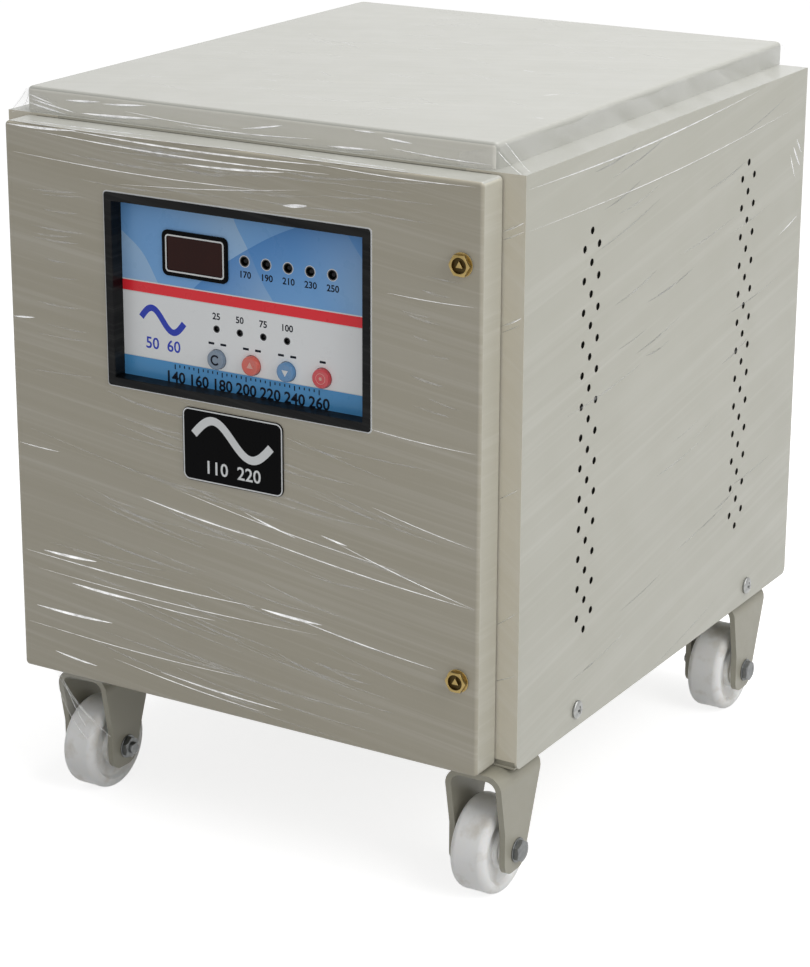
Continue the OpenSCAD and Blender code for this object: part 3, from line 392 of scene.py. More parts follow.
# Walls of the vent holes: painted shade, dark so that a small hole reads as black
HOLE_WALL_SHADE = Finish("hole_wall_painted_shade", "#2B2A27", "#201F1D", 0.6, 0.8, 0.02, 10, shine=0.1)
# Zinc plate: cool grey metal with a faint cloudy bloom, darker where it is passivated
ZINC = Finish("zinc_plated_steel", "#B2B2AE", "#7E8082", 0.36, 0.9, 0.03, 3, metallic=1.0)
DARK_ZINC = Finish("passivated_steel", "#8C8D8C", "#5C5F61", 0.4, 0.9, 0.04, 3, metallic=1.0)
# Turned brass: warm and bright; the latch's recess gets painted shade in a dark brown copy of the brass
BRASS = Finish("turned_brass", "#AE9868", "#84713F", 0.27, 0.6, 0.01, 5, metallic=1.0)
BRASS_RECESS_SHADE = Finish("brass_recess_painted_shade", "#54472A", "#322817", 0.5, 0.6, 0.01, 4, metallic=1.0)
# Black plastic, injection moulded: dark with a fine even spark grain
BLACK_ABS = Finish("moulded_black_abs", "#161719", "#111214", 0.42, 0.5, 0.012, 30, shine=0.06)
DEEP_BLACK = Finish("anodised_black", "#060607", "#040405", 0.3, 0.8, 0.004, 20, shine=0.04)
FRAME_ABS = WrappedPaint(
    "moulded_black_abs_under_film", "#0D0E10", "#090A0B", 0.42, 0.5, 0.012, 30,
    shine=0.06, turn=(0, 9, 0), run=(0.14, 0.3, 0.0028), haze_and_glint=0.02, coat=0.12)
# Screen print: flat clean colour with a low even gloss
SKY_PRINT = SkyPrint("screen_print_sky_blue", "#84BAF0", "#76AEEA")
BAND_PRINT = Print("screen_print_band_blue", "#5AA6E0", "#539EDA")
RED_PRINT = Print("screen_print_red", "#FF3642", "#F7303C")
PALE_PRINT = Print("screen_print_pale_grey", "#FCFEFF", "#F5F8FA")
WHITE_INK = Print("screen_print_white", "#EDEFF0", "#E4E7E8", 0.35, 0.6, patch_mm=20)
NAVY_INK = Print("screen_print_navy", "#0E1524", "#0B111E", 0.35, 0.6, patch_mm=20, shine=0.1, coat=0.0)
BLUE_INK = Print("screen_print_royal_blue", "#2F48CC", "#283DB8", 0.35, 0.6, patch_mm=20)
GLYPH_PALE = Print("print_pale_on_cap", "#F0B9AE", "#EBB0A4", 0.35, 0.6, patch_mm=10)
# Acrylic filter, cast and smoked dark red: nearly black with a clean sharp gloss; the lamps' lenses are alike
SMOKED_RED = Glossy("cast_red_acrylic", "#3A1A15", "#2E1411", 0.2, 2.0, 0.002, 30, shine=0.1, coat=0.0)
SMOKED_LENS = Glossy("moulded_smoked_lens", "#141416", "#0E0E10", 0.25, 2.0, 0.002, 5, shine=0.15, coat=0.0)
# Button caps: even moulded colour under a bright gloss
GREY_CAP = Glossy("moulded_cap_grey_blue", "#7E91A6", "#73869B")
ORANGE_CAP = Glossy("moulded_cap_orange_red", "#E0604E", "#D65443")
BLUE_CAP = Glossy("moulded_cap_blue", "#5A93C6", "#4F88BC")
RED_CAP = Glossy("moulded_cap_red", "#DC3340", "#D02B38")
# The board and its parts: glossy lacquer, matt epoxy, bright moulded cases and shrunk sleeves
SOLDER_MASK = Glossy("solder_mask_green", "#2E5F3B", "#27543A", 0.3, 0.5, 0.01, 12)
EPOXY_BLACK = Finish("moulded_epoxy_black", "#2A2B2E", "#232427", 0.5, 0.6, 0.02, 10)
RELAY_BLUE = Finish("moulded_relay_blue", "#2F5F98", "#29568C", 0.35, 0.7, 0.01, 12)
SOCKET_CREAM = Finish("moulded_nylon_cream", "#E2DDC9", "#D8D2BC", 0.45, 0.7, 0.01, 12)
CAP_SLEEVE = Glossy("shrunk_sleeve_dark_blue", "#22304F", "#1C2843", patch_mm=8)
TAPE = Finish("yellow_insulating_tape", "#D8B34C", "#C9A33F", 0.4, 1.0, 0.02, 12)
# The power parts: sandy cast alloy, bright ground steel, lined sheets, deep orange wire and matt board
CAST_ALLOY = Finish("die_cast_aluminium", "#A5A8AA", "#8F9396", 0.5, 1.1, 0.03, 14, metallic=1.0)
GROUND_STEEL = Finish("ground_steel", "#B3B5B6", "#9FA2A4", 0.24, 0.4, 0.004, 12, metallic=1.0)
LAMINATIONS = Lined("varnished_laminated_steel", "#6C6E72", "#5A5C60", 0.45, 1.0, 0.02, 20, 0.6)
COPPER_WIRE = Finish("enamelled_copper_wire", "#B4683A", "#95522B", 0.3, 1.2, 0.01, 18, metallic=0.85)
PRESSBOARD = Finish("pressed_insulating_board", "#C9B78F", "#BBA77E", 0.7, 1.6, 0.05, 16)
LAMINATE = Finish("glass_epoxy_laminate", "#AC9B6C", "#9C8B5E", 0.4, 0.8, 0.02, 14)
CARBON = Finish("pressed_carbon", "#2B2B2D", "#202022", 0.6, 0.6, 0.02, 4)
MOTOR_ENAMEL = Glossy("motor_enamel_grey", "#5F666C", "#555C62", 0.35, 1.0, 0.02, 25)
BREAKER_GREY = Finish("moulded_breaker_grey", "#D7D7D3", "#CDCDC8", 0.45, 0.6, 0.012, 25)
# Polythene stretch film: see-through face on, mirror-bright along the ridges where it is bunched
FILM = ClearFilm("stretch_film_wrinkled", "#FFFFFF", "#F4F5F6", 0.3, 6.0, 0.02, 10, 0.1, alpha=0.12)
FILM_FOLD = ClearFilm("stretch_film_bunched", "#FFFFFF", "#F3F4F5", 0.2, 9.0, 0.02, 10, 0.85, alpha=0.66)
FILM_WEB = ClearFilm("stretch_film_spanning", "#FFFFFF", "#F4F5F6", 0.25, 40.0, 0.02, 10, 0.05, alpha=0.1)


# Shapes


def outline_box(width: float, height: float, radius: float, steps: int = 6) -> Flat:
    """Gives the points of a centred rectangle with round corners, anticlockwise."""
    points = []
    for cx, cy, start in ((1, 1, 0), (-1, 1, 90), (-1, -1, 180), (1, -1, 270)):
        for i in range(steps + 1):
            angle = math.radians(start + 90 * i / steps)
            x = cx * (width / 2 - radius) + radius * math.cos(angle)
            points.append((x, cy * (height / 2 - radius) + radius * math.sin(angle)))
    return points


def outline_round(radius: float, steps: int, start: float = 0.0) -> Flat:
    """Gives the points of a circle or a regular polygon, anticlockwise."""
    turns = [math.radians(start + 360 * i / steps) for i in range(steps)]
    return [(radius * math.cos(t), radius * math.sin(t)) for t in turns]


def outline_stroke(points: Flat, width: float) -> Flat:
    """Gives the outline of a stroke of even width along a flat path."""
    left, right = [], []
    for i, point in enumerate(points):
        along = (Vector(points[min(i + 1, len(points) - 1)]) - Vector(points[max(i - 1, 0)])).normalized()
        side = Vector((-along.y, along.x)) * width / 2
        left.append(tuple(Vector(point) + side))
        right.append(tuple(Vector(point) - side))
    return right + left[::-1]


def sine_path(width: float, rise: float, steps: int = 40) -> Flat:
    """Gives one period of a sine wave, the plain sign for alternating current."""
    return [(width * (i / steps - 0.5), rise * math.sin(2 * math.pi * i / steps)) for i in range(steps + 1)]


def arc_path(radius: float, start: float, end: float, steps: int = 20, x: float = 0.0,
             y: float = 0.0) -> Flat:
    """Gives the points of an arc about a point, in degrees from its start to its end."""
    turns = [math.radians(start + (end - start) * i / steps) for i in range(steps + 1)]
    return [(x + radius * math.cos(t), y + radius * math.sin(t)) for t in turns]


def hexagon(flats: float, steps: int = 6) -> Flat:
    """Gives the points of a hexagon with corners on the first axis, and several along each side."""
    corners = outline_round(flats / math.sqrt(3), 6) + [(flats / math.sqrt(3), 0.0)]
    made = []
    for (ax, ay), (bx, by) in zip(corners, corners[1:]):
        made += [(ax + (bx - ax) * i / steps, ay + (by - ay) * i / steps) for i in range(steps)]
    return made


def hex_head(flats: float, low: float, top: float, bore: float = 0.0,
             depth: float = 0.0) -> list[list[Triple]]:
    """Gives the loops of a hexagon head whose top is turned to a cone, as on a real bolt.

    Args:
        flats: Width across the flats.
        low: Height of the head's underside.
        top: Height of the head's top.
        bore: Radius of a round recess or passage, where the head has one.
        depth: Depth of that recess.

    Returns:
        Loops of equally many points, from the underside up and then down into the recess.
    """
    side = hexagon(flats)
    cone = flats / 2 * 0.95
    slope = math.tan(math.radians(60))

    def circle(radius: float, height: float) -> list[Triple]:
        """Lays a circle whose points stand over those of the hexagon."""
        return [(x * radius / math.hypot(x, y), y * radius / math.hypot(x, y), height) for x, y in side]

    rim = [(x, y, top - (math.hypot(x, y) - cone) / slope) for x, y in side]
    loops = [[(x, y, low) for x, y in side], rim, circle(cone, top)]
    if bore > 0:
        return loops + [circle(bore + 0.25, top), circle(bore, top - 0.25), circle(bore, top - depth)]
    return loops + [circle(cone * 0.62, top), circle(cone * 0.56, top - 0.15)]


def level(a: Vector, b: Vector) -> bool:
    """Says whether an edge lies level."""
    return near(a.z, b.z)


def near(value: float, target: float, slack: float = 0.02) -> bool:
    """Says whether two lengths in mm are the same for all purposes."""
    return abs(value - target) < slack


def add_object(name: str, data: bpy.types.ID) -> bpy.types.Object:
    """Makes an object of a mesh, curve, lamp or camera and puts it in the scene."""
    made = bpy.data.objects.new(name, data)
    bpy.context.scene.collection.objects.link(made)
    return made


def evaluated_mesh(holder: bpy.types.Object) -> bpy.types.Mesh:
    """Gives an object's mesh as its modifiers or its text settings leave it."""
    bpy.context.view_layer.update()
    return bpy.data.meshes.new_from_object(holder.evaluated_get(bpy.context.evaluated_depsgraph_get()))


class Solid:
    """A mesh in the making, in drawing millimetres, with a finish for each of its surfaces."""

    def __init__(self, finish: Finish) -> None:
        """Starts an empty mesh in its main finish."""
        self.bm = bmesh.new()
        self.finishes = [finish]
        self.copied = False

    @classmethod
    def copy_of(cls, node: str, finish: Finish) -> "Solid":
        """Starts from a CAD node's mesh in one finish, with its loose triangles joined into flat faces."""
        made = cls(finish)
        made.bm.from_mesh(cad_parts[node].data)
        bmesh.ops.remove_doubles(made.bm, verts=made.bm.verts, dist=1e-6)
        for vertex in made.bm.verts:
            vertex.co = vertex.co / MM - HOME
        angle = math.radians(0.8)
        bmesh.ops.dissolve_limit(made.bm, angle_limit=angle, verts=made.bm.verts, edges=made.bm.edges)
        for face in made.bm.faces:
            face.material_index = 0
        made.copied = True
        return made

    def number(self, finish: Finish | None) -> int:
        """Gives the number of a finish on this solid, and adds it if it is new."""
        if finish is None:
            return 0
        if finish not in self.finishes:
            self.finishes.append(finish)
        return self.finishes.index(finish)

    def skin(self, rows: Iterable[Iterable[Vector]], finish: Finish | None = None, caps: bool = False,
             closed: bool = False) -> list[bmesh.types.BMFace]:
        """Joins rows of points one after another, where a row of one point is a pole.

        Args:
            rows: Points of the drawing, equally many in each row that isn't a pole.
            finish: The finish, where it isn't the solid's own.
            caps: Whether a flat face closes the first and the last row.
            closed: Whether the last row joins the first.

        Returns:
            The caps.
        """
        loops = [[self.bm.verts.new(point) for point in row] for row in rows]
        faces = []
        for low, high in list(zip(loops, loops[1:])) + ([(loops[-1], loops[0])] if closed else []):
            count = max(len(low), len(high))
            for i in range(count):
                j = (i + 1) % count
                corners = (low[i % len(low)], low[j % len(low)], high[j % len(high)], high[i % len(high)])
                faces.append(tuple(dict.fromkeys(corners)))
        ends = [loops[0][::-1], loops[-1]] if caps else []
        made = [self.bm.faces.new(corners) for corners in faces + ends if len(corners) > 2]
        for face in made:
            face.material_index = self.number(finish)
        return made[-2:] if caps else []

    def bevel(self, edges: Iterable[bmesh.types.BMEdge], radius: float, steps: int) -> None:
        """Rounds edges in the finish of the faces beside them."""
        bmesh.ops.bevel(self.bm, geom=list(edges), offset=radius, segments=steps, profile=0.5,
                        affect="EDGES", clamp_overlap=True, material=-1)

    def slab(self, outline: Flat, place: Matrix, rise: float, edge: float = 0.0, finish: Finish | None = None,
             sink: float = 0.0) -> None:
        """Raises a flat outline into a plate whose upper rim may be rounded.

        Args:
            outline: Points of the outline, anticlockwise.
            place: Matrix from the outline's plane to the drawing.
            rise: Height of the plate above the plane.
            edge: Radius of the upper rim.
            finish: The plate's finish, where it isn't the solid's own.
            sink: Depth that the plate starts below the plane.
        """
        rows = [[place @ Vector((x, y, z)) for x, y in outline] for z in (-sink, rise)]
        top = self.skin(rows, finish, caps=True)[1]
        if edge > 0:
            self.bevel(top.edges, edge, 3)

    def stamp(self, outline: Flat, place: Matrix, finish: Finish) -> None:
        """Prints a flat outline as a thin layer of ink."""
        self.slab(outline, place, INK, finish=finish, sink=INK)

    def ring(self, outer: Flat, inner: Flat, place: Matrix, rise: float, finish: Finish | None = None,
             sink: float = 0.0) -> None:
        """Raises a flat band between two outlines that have equally many points."""
        section = ((outer, -sink), (outer, rise), (inner, rise), (inner, -sink))
        self.skin([[place @ Vector((x, y, z)) for x, y in path] for path, z in section], finish, closed=True)

    def washer(self, outer: float, inner: float, steps: int, place: Matrix, rise: float,
               finish: Finish | None = None, sink: float = 0.0) -> None:
        """Raises a flat band between two circles."""
        self.ring(outline_round(outer, steps), outline_round(inner, steps), place, rise, finish, sink)

    def rim(self, size: Pair, insets: Pair, radii: Pair, place: Matrix, rise: float,
            finish: Finish | None = None, sink: float = 0.0, steps: int = 8) -> None:
        """Raises a flat band between two round-cornered rectangles.

        Args:
            size: Width and height that both are measured from.
            insets: How much narrower the outer and the inner one are.
            radii: Corner radius of the outer and of the inner one.
            place: Matrix from the band's plane to the drawing.
            rise: Height of the band above the plane.
            finish: The band's finish, where it isn't the solid's own.
            sink: Depth that the band starts below the plane.
            steps: Faces round each corner.
        """
        outer, inner = (outline_box(size[0] - i, size[1] - i, r, steps) for i, r in zip(insets, radii))
        self.ring(outer, inner, place, rise, finish, sink)

    def loft(self, loops: Iterable[Iterable[Point]], place: Matrix, finish: Finish | None = None,
             caps: bool = True) -> None:
        """Joins closed loops of equally many points one after another, with a cap on both ends or none."""
        self.skin([[place @ Vector(p) for p in loop] for loop in loops], finish, caps)

    def lathe(self, profile: Flat, place: Matrix, steps: int = 48, finish: Finish | None = None) -> None:
        """Turns a half profile about the plane's outward axis.

        Args:
            profile: Radius and height of each point, from the lower end to the upper end.
            place: Matrix from the shape's own axis to the drawing.
            steps: Faces round the axis.
            finish: The finish, where it isn't the solid's own.
        """
        rows = []
        for radius, height in profile:
            around = outline_round(radius, steps) if radius > 1e-6 else [(0.0, 0.0)]
            rows.append([place @ Vector((x, y, height)) for x, y in around])
        self.skin(rows, finish)

    def tube(self, path: Sequence[Point], radius: float, steps: int = 8, closed: bool = False,
             finish: Finish | None = None) -> None:
        """Lays a round rod along a path, open with flat ends or closed into a loop."""
        count = len(path)
        rows = []
        side = None
        for i, point in enumerate(path):
            before = path[(i - 1) % count] if closed else path[max(i - 1, 0)]
            after = path[(i + 1) % count] if closed else path[min(i + 1, count - 1)]
            along = (Vector(after) - Vector(before)).normalized()
            side = along.orthogonal().normalized() if side is None else side
            side = (side - along * side.dot(along)).normalized()
            up = along.cross(side)
            rows.append([Vector(point) + side * x + up * y for x, y in outline_round(radius, steps)])
        self.skin(rows, finish, not closed, closed)

    def box(self, low: Point, high: Point, edge: float = 0.0, finish: Finish | None = None) -> None:
        """Adds a block between two corners, with all its edges rounded."""
        size = [abs(b - a) for a, b in zip(low, high)]
        middle = [(a + b) / 2 for a, b in zip(low, high)]
        matrix = Matrix.Translation(middle) @ Matrix.Diagonal((*size, 1.0))
        corners = bmesh.ops.create_cube(self.bm, size=1.0, matrix=matrix)["verts"]
        for face in {f for v in corners for f in v.link_faces}:
            face.material_index = self.number(finish)
        if edge > 0:
            self.bevel(dict.fromkeys(e for v in corners for e in v.link_edges), edge, 2)

    def letters(self, text: str, height: float, place: Matrix, finish: Finish, rise: float = INK,
                bold: float = 0.0) -> None:
        """Adds plain figures as thin raised print.

        Args:
            text: The figures.
            height: Height of a figure in mm.
            place: Matrix from the text's plane to the drawing.
            finish: The ink.
            rise: Thickness of the ink in mm.
            bold: Share of the height by which the strokes swell.
        """
        curve = bpy.data.curves.new("figures", "FONT")
        curve.body = text
        curve.size = height / 0.7
        curve.align_x = "CENTER"
        curve.align_y = "CENTER"
        curve.extrude = rise
        curve.offset = bold * height
        curve.resolution_u = 3
        holder = add_object("figures", curve)
        mesh = evaluated_mesh(holder)
        mesh.transform(place)
        before = set(self.bm.faces)
        self.bm.from_mesh(mesh)
        for face in self.bm.faces:
            if face not in before:
                face.material_index = self.number(finish)
        bpy.data.objects.remove(holder)
        bpy.data.curves.remove(curve)
        bpy.data.meshes.remove(mesh)

    def round_edges(self, pick: Callable[[Vector, Vector], bool], radius: float, steps: int = 3) -> None:
        """Rounds the edges whose two ends are picked, where two faces meet at an angle.

        Args:
            pick: Says from an edge's two ends, in drawing mm, whether it is rounded.
            radius: Radius of the rounding.
            steps: Faces across the rounding.
        """
        least = math.radians(40)
        bent = [e for e in self.bm.edges if len(e.link_faces) == 2 and e.calc_face_angle(0.0) > least]
        edges = [e for e in bent if pick(e.verts[0].co, e.verts[1].co)]
        if edges:
            self.bevel(edges, radius, steps)

    def paint(self, pick: Callable[[Vector], bool], finish: Finish) -> None:
        """Gives a finish to each face whose middle is picked."""
        for face in self.bm.faces:
            if pick(face.calc_center_median()):
                face.material_index = self.number(finish)

    def mesh(self, name: str) -> bpy.types.Mesh:
        """Turns the solid into a plain mesh, joined and with its faces outwards."""
        bmesh.ops.remove_doubles(self.bm, verts=self.bm.verts, dist=1e-4)
        bmesh.ops.recalc_face_normals(self.bm, faces=self.bm.faces)
        return self.raw_mesh(name)

    def raw_mesh(self, name: str) -> bpy.types.Mesh:
        """Turns the solid into a mesh as it is."""
        made = bpy.data.meshes.new(name)
        self.bm.to_mesh(made)
        self.bm.free()
        return made

    def done(self, name: str, slot: str, *replaces: str, body: str = "case", smooth: float = 35.0) -> None:
        """Makes the mesh a piece of the scene.

        Args:
            name: The piece's name.
            slot: The record's material slot that it belongs to; not used.
            replaces: CAD nodes that it stands for.
            body: The CAD body that it rides on.
            smooth: Largest angle between faces that is shaded smooth, in degrees.
        """
        mesh = self.raw_mesh(name) if self.copied else self.mesh(name)
        mesh.transform(Matrix.Scale(MM, 4) @ Matrix.Translation(HOME))
        for finish in self.finishes:
            mesh.materials.append(finish.material())
        settle(add_object(name, mesh), body, replaces, smooth)


def settle(piece: bpy.types.Object, body: str, replaces: Sequence[str] = (),
           smooth: float = 35.0) -> None:
    """Shades a finished mesh, puts it on its body and hides the CAD nodes that it stands for.

    Args:
        piece: The object, with its place in its mesh.
        body: The CAD body that it rides on.
        replaces: CAD nodes that it stands for.
        smooth: Largest angle between faces that is shaded smooth, in degrees.
    """
    piece.data.shade_smooth()
    piece.data.set_sharp_from_angle(angle=math.radians(smooth))
    piece.modifiers.new("even_normals", "WEIGHTED_NORMAL").keep_sharp = True
    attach(piece, body)
    if replaces:
        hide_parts(*replaces)
    log.info("%s rides on %s with %d faces", piece.name, body, len(piece.data.polygons))


def dress(node: str, finish: Finish) -> None:
    """Gives a CAD node that keeps its own shape a better material."""
    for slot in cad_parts[node].material_slots:
        slot.material = finish.material()
    log.info("%s keeps its shape in %s", node, finish.name)


# Trees of Geometry Nodes for what repeats


class Tree:
    """A Geometry Nodes tree under construction, with named inputs for its sizes."""

    def __init__(self, name: str) -> None:
        """Starts a tree that takes a mesh and gives one."""
        self.name = name
        self.tree = bpy.data.node_groups.new(name, "GeometryNodeTree")
        self.values: dict[str, object] = {}
        for way in ("INPUT", "OUTPUT"):
            self.tree.interface.new_socket("Geometry", in_out=way, socket_type="NodeSocketGeometry")
        self.source = self.tree.nodes.new("NodeGroupInput")

    def value(self, name: str, kind: str, setting: object) -> Socket:
        """Adds a named input with the setting that it gets, and returns its socket inside the tree."""
        made = self.tree.interface.new_socket(name, in_out="INPUT", socket_type=f"NodeSocket{kind}")
        self.values[made.identifier] = setting
        return self.source.outputs[name]

    def item(self, pattern: bpy.types.Object) -> Socket:
        """Adds an input for the object that repeats, and gives its geometry."""
        links = {"Object": self.value("Shape", "Object", pattern)}
        return self.add("GeometryNodeObjectInfo", {"transform_space": "ORIGINAL"}, links).outputs["Geometry"]

    def add(self, kind: str, settings: dict | None = None, links: dict | None = None) -> bpy.types.Node:
        """Adds a node to the tree."""
        return add_node(self.tree, kind, settings, links)

    def stand(self, item: Socket, finish: Finish, **links: Socket) -> None:
        """Stands an item on each point of the start mesh, turned as the point's attribute aim says."""
        aim = self.add("GeometryNodeInputNamedAttribute", {"data_type": "FLOAT_VECTOR", "Name": "aim"})
        spots = self.add("GeometryNodeMeshToPoints", links={"Mesh": self.source.outputs["Geometry"]})
        links |= {"Points": spots.outputs["Points"], "Instance": item, "Rotation": aim.outputs["Attribute"]}
        self.close(finish, **links)

    def close(self, finish: Finish, **links: Socket) -> None:
        """Ends the tree: copies on points, Realize Instances and Set Material."""
        copies = self.add("GeometryNodeInstanceOnPoints", links=links)
        real = self.add("GeometryNodeRealizeInstances", links={"Geometry": copies.outputs["Instances"]})
        colour = {"Material": finish.material()}
        dressed = self.add("GeometryNodeSetMaterial", colour, {"Geometry": real.outputs["Geometry"]})
        self.add("NodeGroupOutput", links={"Geometry": dressed.outputs["Geometry"]})

    def grow(self, finish: Finish, places: Sequence[Point] = (),
             aims: Sequence[Point] = ()) -> bpy.types.Object:
        """Runs the tree on single points and turns the result into a plain object named as the tree.

        Args:
            finish: The finish that the result keeps.
            places: Points in drawing mm.
            aims: Turn of each point about X, Y and Z in degrees.

        Returns:
            The piece's object, not yet on a body.
        """
        start = bpy.data.meshes.new(self.name + "_points")
        start.from_pydata([(Vector(p) + HOME) * MM for p in places], [], [])
        if aims:
            turns = start.attributes.new("aim", "FLOAT_VECTOR", "POINT")
            turns.data.foreach_set("vector", [math.radians(a) for aim in aims for a in aim])
        seed = add_object(self.name + "_seed", start)
        modifier = seed.modifiers.new("nodes", "NODES")
        modifier.node_group = self.tree
        for identifier, setting in self.values.items():
            modifier[identifier] = setting
        mesh = evaluated_mesh(seed)
        mesh.name = self.name
        seed.modifiers.remove(modifier)
        bpy.data.objects.remove(seed)
        if not mesh.materials:
            mesh.materials.append(finish.material())
        return add_object(self.name, mesh)


def repeat_shape(name: str, shape: Solid, places: Sequence[Point], aims: Sequence[Point], slot: str,
                 *replaces: str, body: str = "case", smooth: float = 35.0) -> None:
    """Makes one piece of a small shape that stands at many places, by a Geometry Nodes tree.

    Args:
        name: Name of the piece.
        shape: The shape in mm about the origin, standing along Z.
        places: Points in drawing mm.
        aims: Turn of each copy in degrees, or one turn for all.
        slot: The record's material slot that it belongs to; not used.
        replaces: CAD nodes that it stands for.
        body: The CAD body that it rides on.
        smooth: Largest angle between faces that is shaded smooth, in degrees.
    """
    pattern = add_object(name + "_shape", shape.mesh(name + "_shape"))
    finish = shape.finishes[0]
    tree = Tree(name)
    tree.stand(tree.item(pattern), finish, Scale=tree.value("Scale", "Float", MM))
    piece = tree.grow(finish, places, aims if len(aims) == len(places) else list(aims) * len(places))
    bpy.data.objects.remove(pattern)
    settle(piece, body, replaces, smooth)


# Studio


@dataclass
class Studio:
    """The camera at the photograph's angle, a pale floor and soft light."""

    azimuth: float = 31.584
    elevation: float = 17.27
    distance: float = 1.962856
    target: Triple = (-0.0415, 0.00375, 0.2274)
    focal_px: float = 2790.078
    picture_px: float = 967.0
    shift: Pair = (0.0353, -0.0742)
    lit: Triple = (0.0, 0.0, 0.22)
    air: float = 0.35
    glow: float = 0.78

    def camera(self) -> None:
        """Makes the camera and sets it as the scene's."""
        a, e = math.radians(self.azimuth), math.radians(self.elevation)
        back = Vector((math.sin(a) * math.cos(e), -math.cos(a) * math.cos(e), math.sin(e)))
        data = bpy.data.cameras.new("camera")
        data.lens = self.focal_px / self.picture_px * data.sensor_width
        data.shift_x, data.shift_y = self.shift
        data.clip_start, data.clip_end = 0.05, 30.0
        eye = add_object("camera", data)
        eye.location = Vector(self.target) + back * self.distance
        eye.rotation_euler = back.to_track_quat("Z", "Y").to_euler()
        bpy.context.scene.camera = eye

    def lamp(self, name: str, place: Triple, size: float, power: float) -> None:
        """Adds a square soft lamp that looks at the object's middle."""
        data = bpy.data.lights.new(name, "AREA")
        data.shape = "SQUARE"
        data.size = size
        data.energy = power
        holder = add_object(name, data)
        holder.location = place
        holder.rotation_euler = (Vector(place) - Vector(self.lit)).to_track_quat("Z", "Y").to_euler()

    def light(self) -> None:
        """Sets the lamps: most light from above, then the right, and least on the front."""
        self.lamp("top_lamp", (0.35, 0.55, 2.1), 1.6, 27.0)
        self.lamp("right_lamp", (1.6, -0.45, 1.35), 1.1, 12.5)
        self.lamp("front_lamp", (0.9, -2.5, 1.0), 1.2, 5.0)
        world = bpy.data.worlds.new("studio_air")
        bpy.context.scene.world = world
        world.use_nodes = True
        plain = world.node_tree.nodes["Background"]
        plain.inputs["Color"].default_value = linear("#FFFFFF")
        plain.inputs["Strength"].default_value = self.air
        settings = {"Color": linear("#FFFFFF"), "Strength": 1.0}
        white = add_node(world.node_tree, "ShaderNodeBackground", settings)
        self.show(world.node_tree, plain, white, "World Output")

    def show(self, tree: bpy.types.NodeTree, real: bpy.types.Node, shown: bpy.types.Node,
             output: str) -> None:
        """Shows a second shader to straight, mirrored and refracted rays, and the first to all others."""
        path = add_node(tree, "ShaderNodeLightPath").outputs
        seen = path["Is Camera Ray"]
        for ray in ("Is Glossy Ray", "Is Transmission Ray"):
            links = {0: seen, 1: path[ray]}
            seen = add_node(tree, "ShaderNodeMath", {"operation": "MAXIMUM"}, links).outputs[0]
        links = {0: seen, 1: real.outputs[0], 2: shown.outputs[0]}
        chosen = add_node(tree, "ShaderNodeMixShader", links=links)
        tree.links.new(chosen.outputs[0], tree.nodes[output].inputs["Surface"])

    def floor(self) -> None:
        """Lays a wide pale floor that keeps the object's shadow."""
        bm = bmesh.new()
        bmesh.ops.create_grid(bm, x_segments=2, y_segments=2, size=9.0)
        mesh = bpy.data.meshes.new("studio_floor")
        bm.to_mesh(mesh)
        bm.free()
        material = bpy.data.materials.new("matt_white_paper")
        material.use_nodes = True
        tree = material.node_tree
        shader = tree.nodes["Principled BSDF"]
        settings = {"Base Color": linear("#C4C4C4"), "Roughness": 0.9, "Specular IOR Level": 0.0}
        for name, value in settings.items():
            shader.inputs[name].default_value = value
        glow = add_node(tree, "ShaderNodeEmission", {"Color": linear("#FFFFFF"), "Strength": self.glow})
        both = add_node(tree, "ShaderNodeAddShader", links={0: shader.outputs[0], 1: glow.outputs[0]})
        self.show(tree, shader, both, "Material Output")
        mesh.materials.append(material)
        add_object("studio_floor", mesh)

    def build(self) -> None:
        """Builds the whole studio."""
        bpy.context.scene.view_settings.view_transform = "Standard"
        self.camera()
        self.light()
        self.floor()


def carve(body: Solid, cutter: Solid) -> None:
    """Cuts one closed solid out of another, which changes in place."""
    holders = [add_object("carving", shape.mesh("carving")) for shape in (body, cutter)]
    cut = holders[0].modifiers.new("cut", "BOOLEAN")
    cut.solver = "EXACT"
    cut.object = holders[1]
    mesh = evaluated_mesh(holders[0])
    body.bm = bmesh.new()
    body.bm.from_mesh(mesh)
    for holder in holders:
        bpy.data.objects.remove(holder)
    bpy.data.meshes.remove(mesh)


def hex_bolt(finish: Finish, flats: float, head: float, washer: Pair, shank: Pair) -> Solid:
    """Draws a hexagon bolt about the origin, its washer's face at zero and its shank going down.

    Args:
        finish: Metal of the bolt.
        flats: Width across the flats.
        head: Height of the head.
        washer: Diameter and thickness of the washer.
        shank: Diameter and length of the shank below the washer's face.

    Returns:
        The bolt's solid.
    """
    bolt = Solid(finish)
    half, thick = washer[0] / 2, washer[1]
    if thick > 0:
        edge = thick * 0.2
        face = [(half - edge, 0), (half, edge), (half, thick - edge), (half - edge, thick)]
        bolt.lathe([(0, 0), *face, (0, thick)], UPRIGHT, 28)
    bolt.loft(hex_head(flats, thick, thick + head), UPRIGHT)
    radius, length = shank[0] / 2, shank[1]
    rod = [(0, -length), (radius - 0.6, -length), (radius, -length + 0.7), (radius, -0.01), (0, -0.01)]
    bolt.lathe(rod, UPRIGHT, 20)
    return bolt


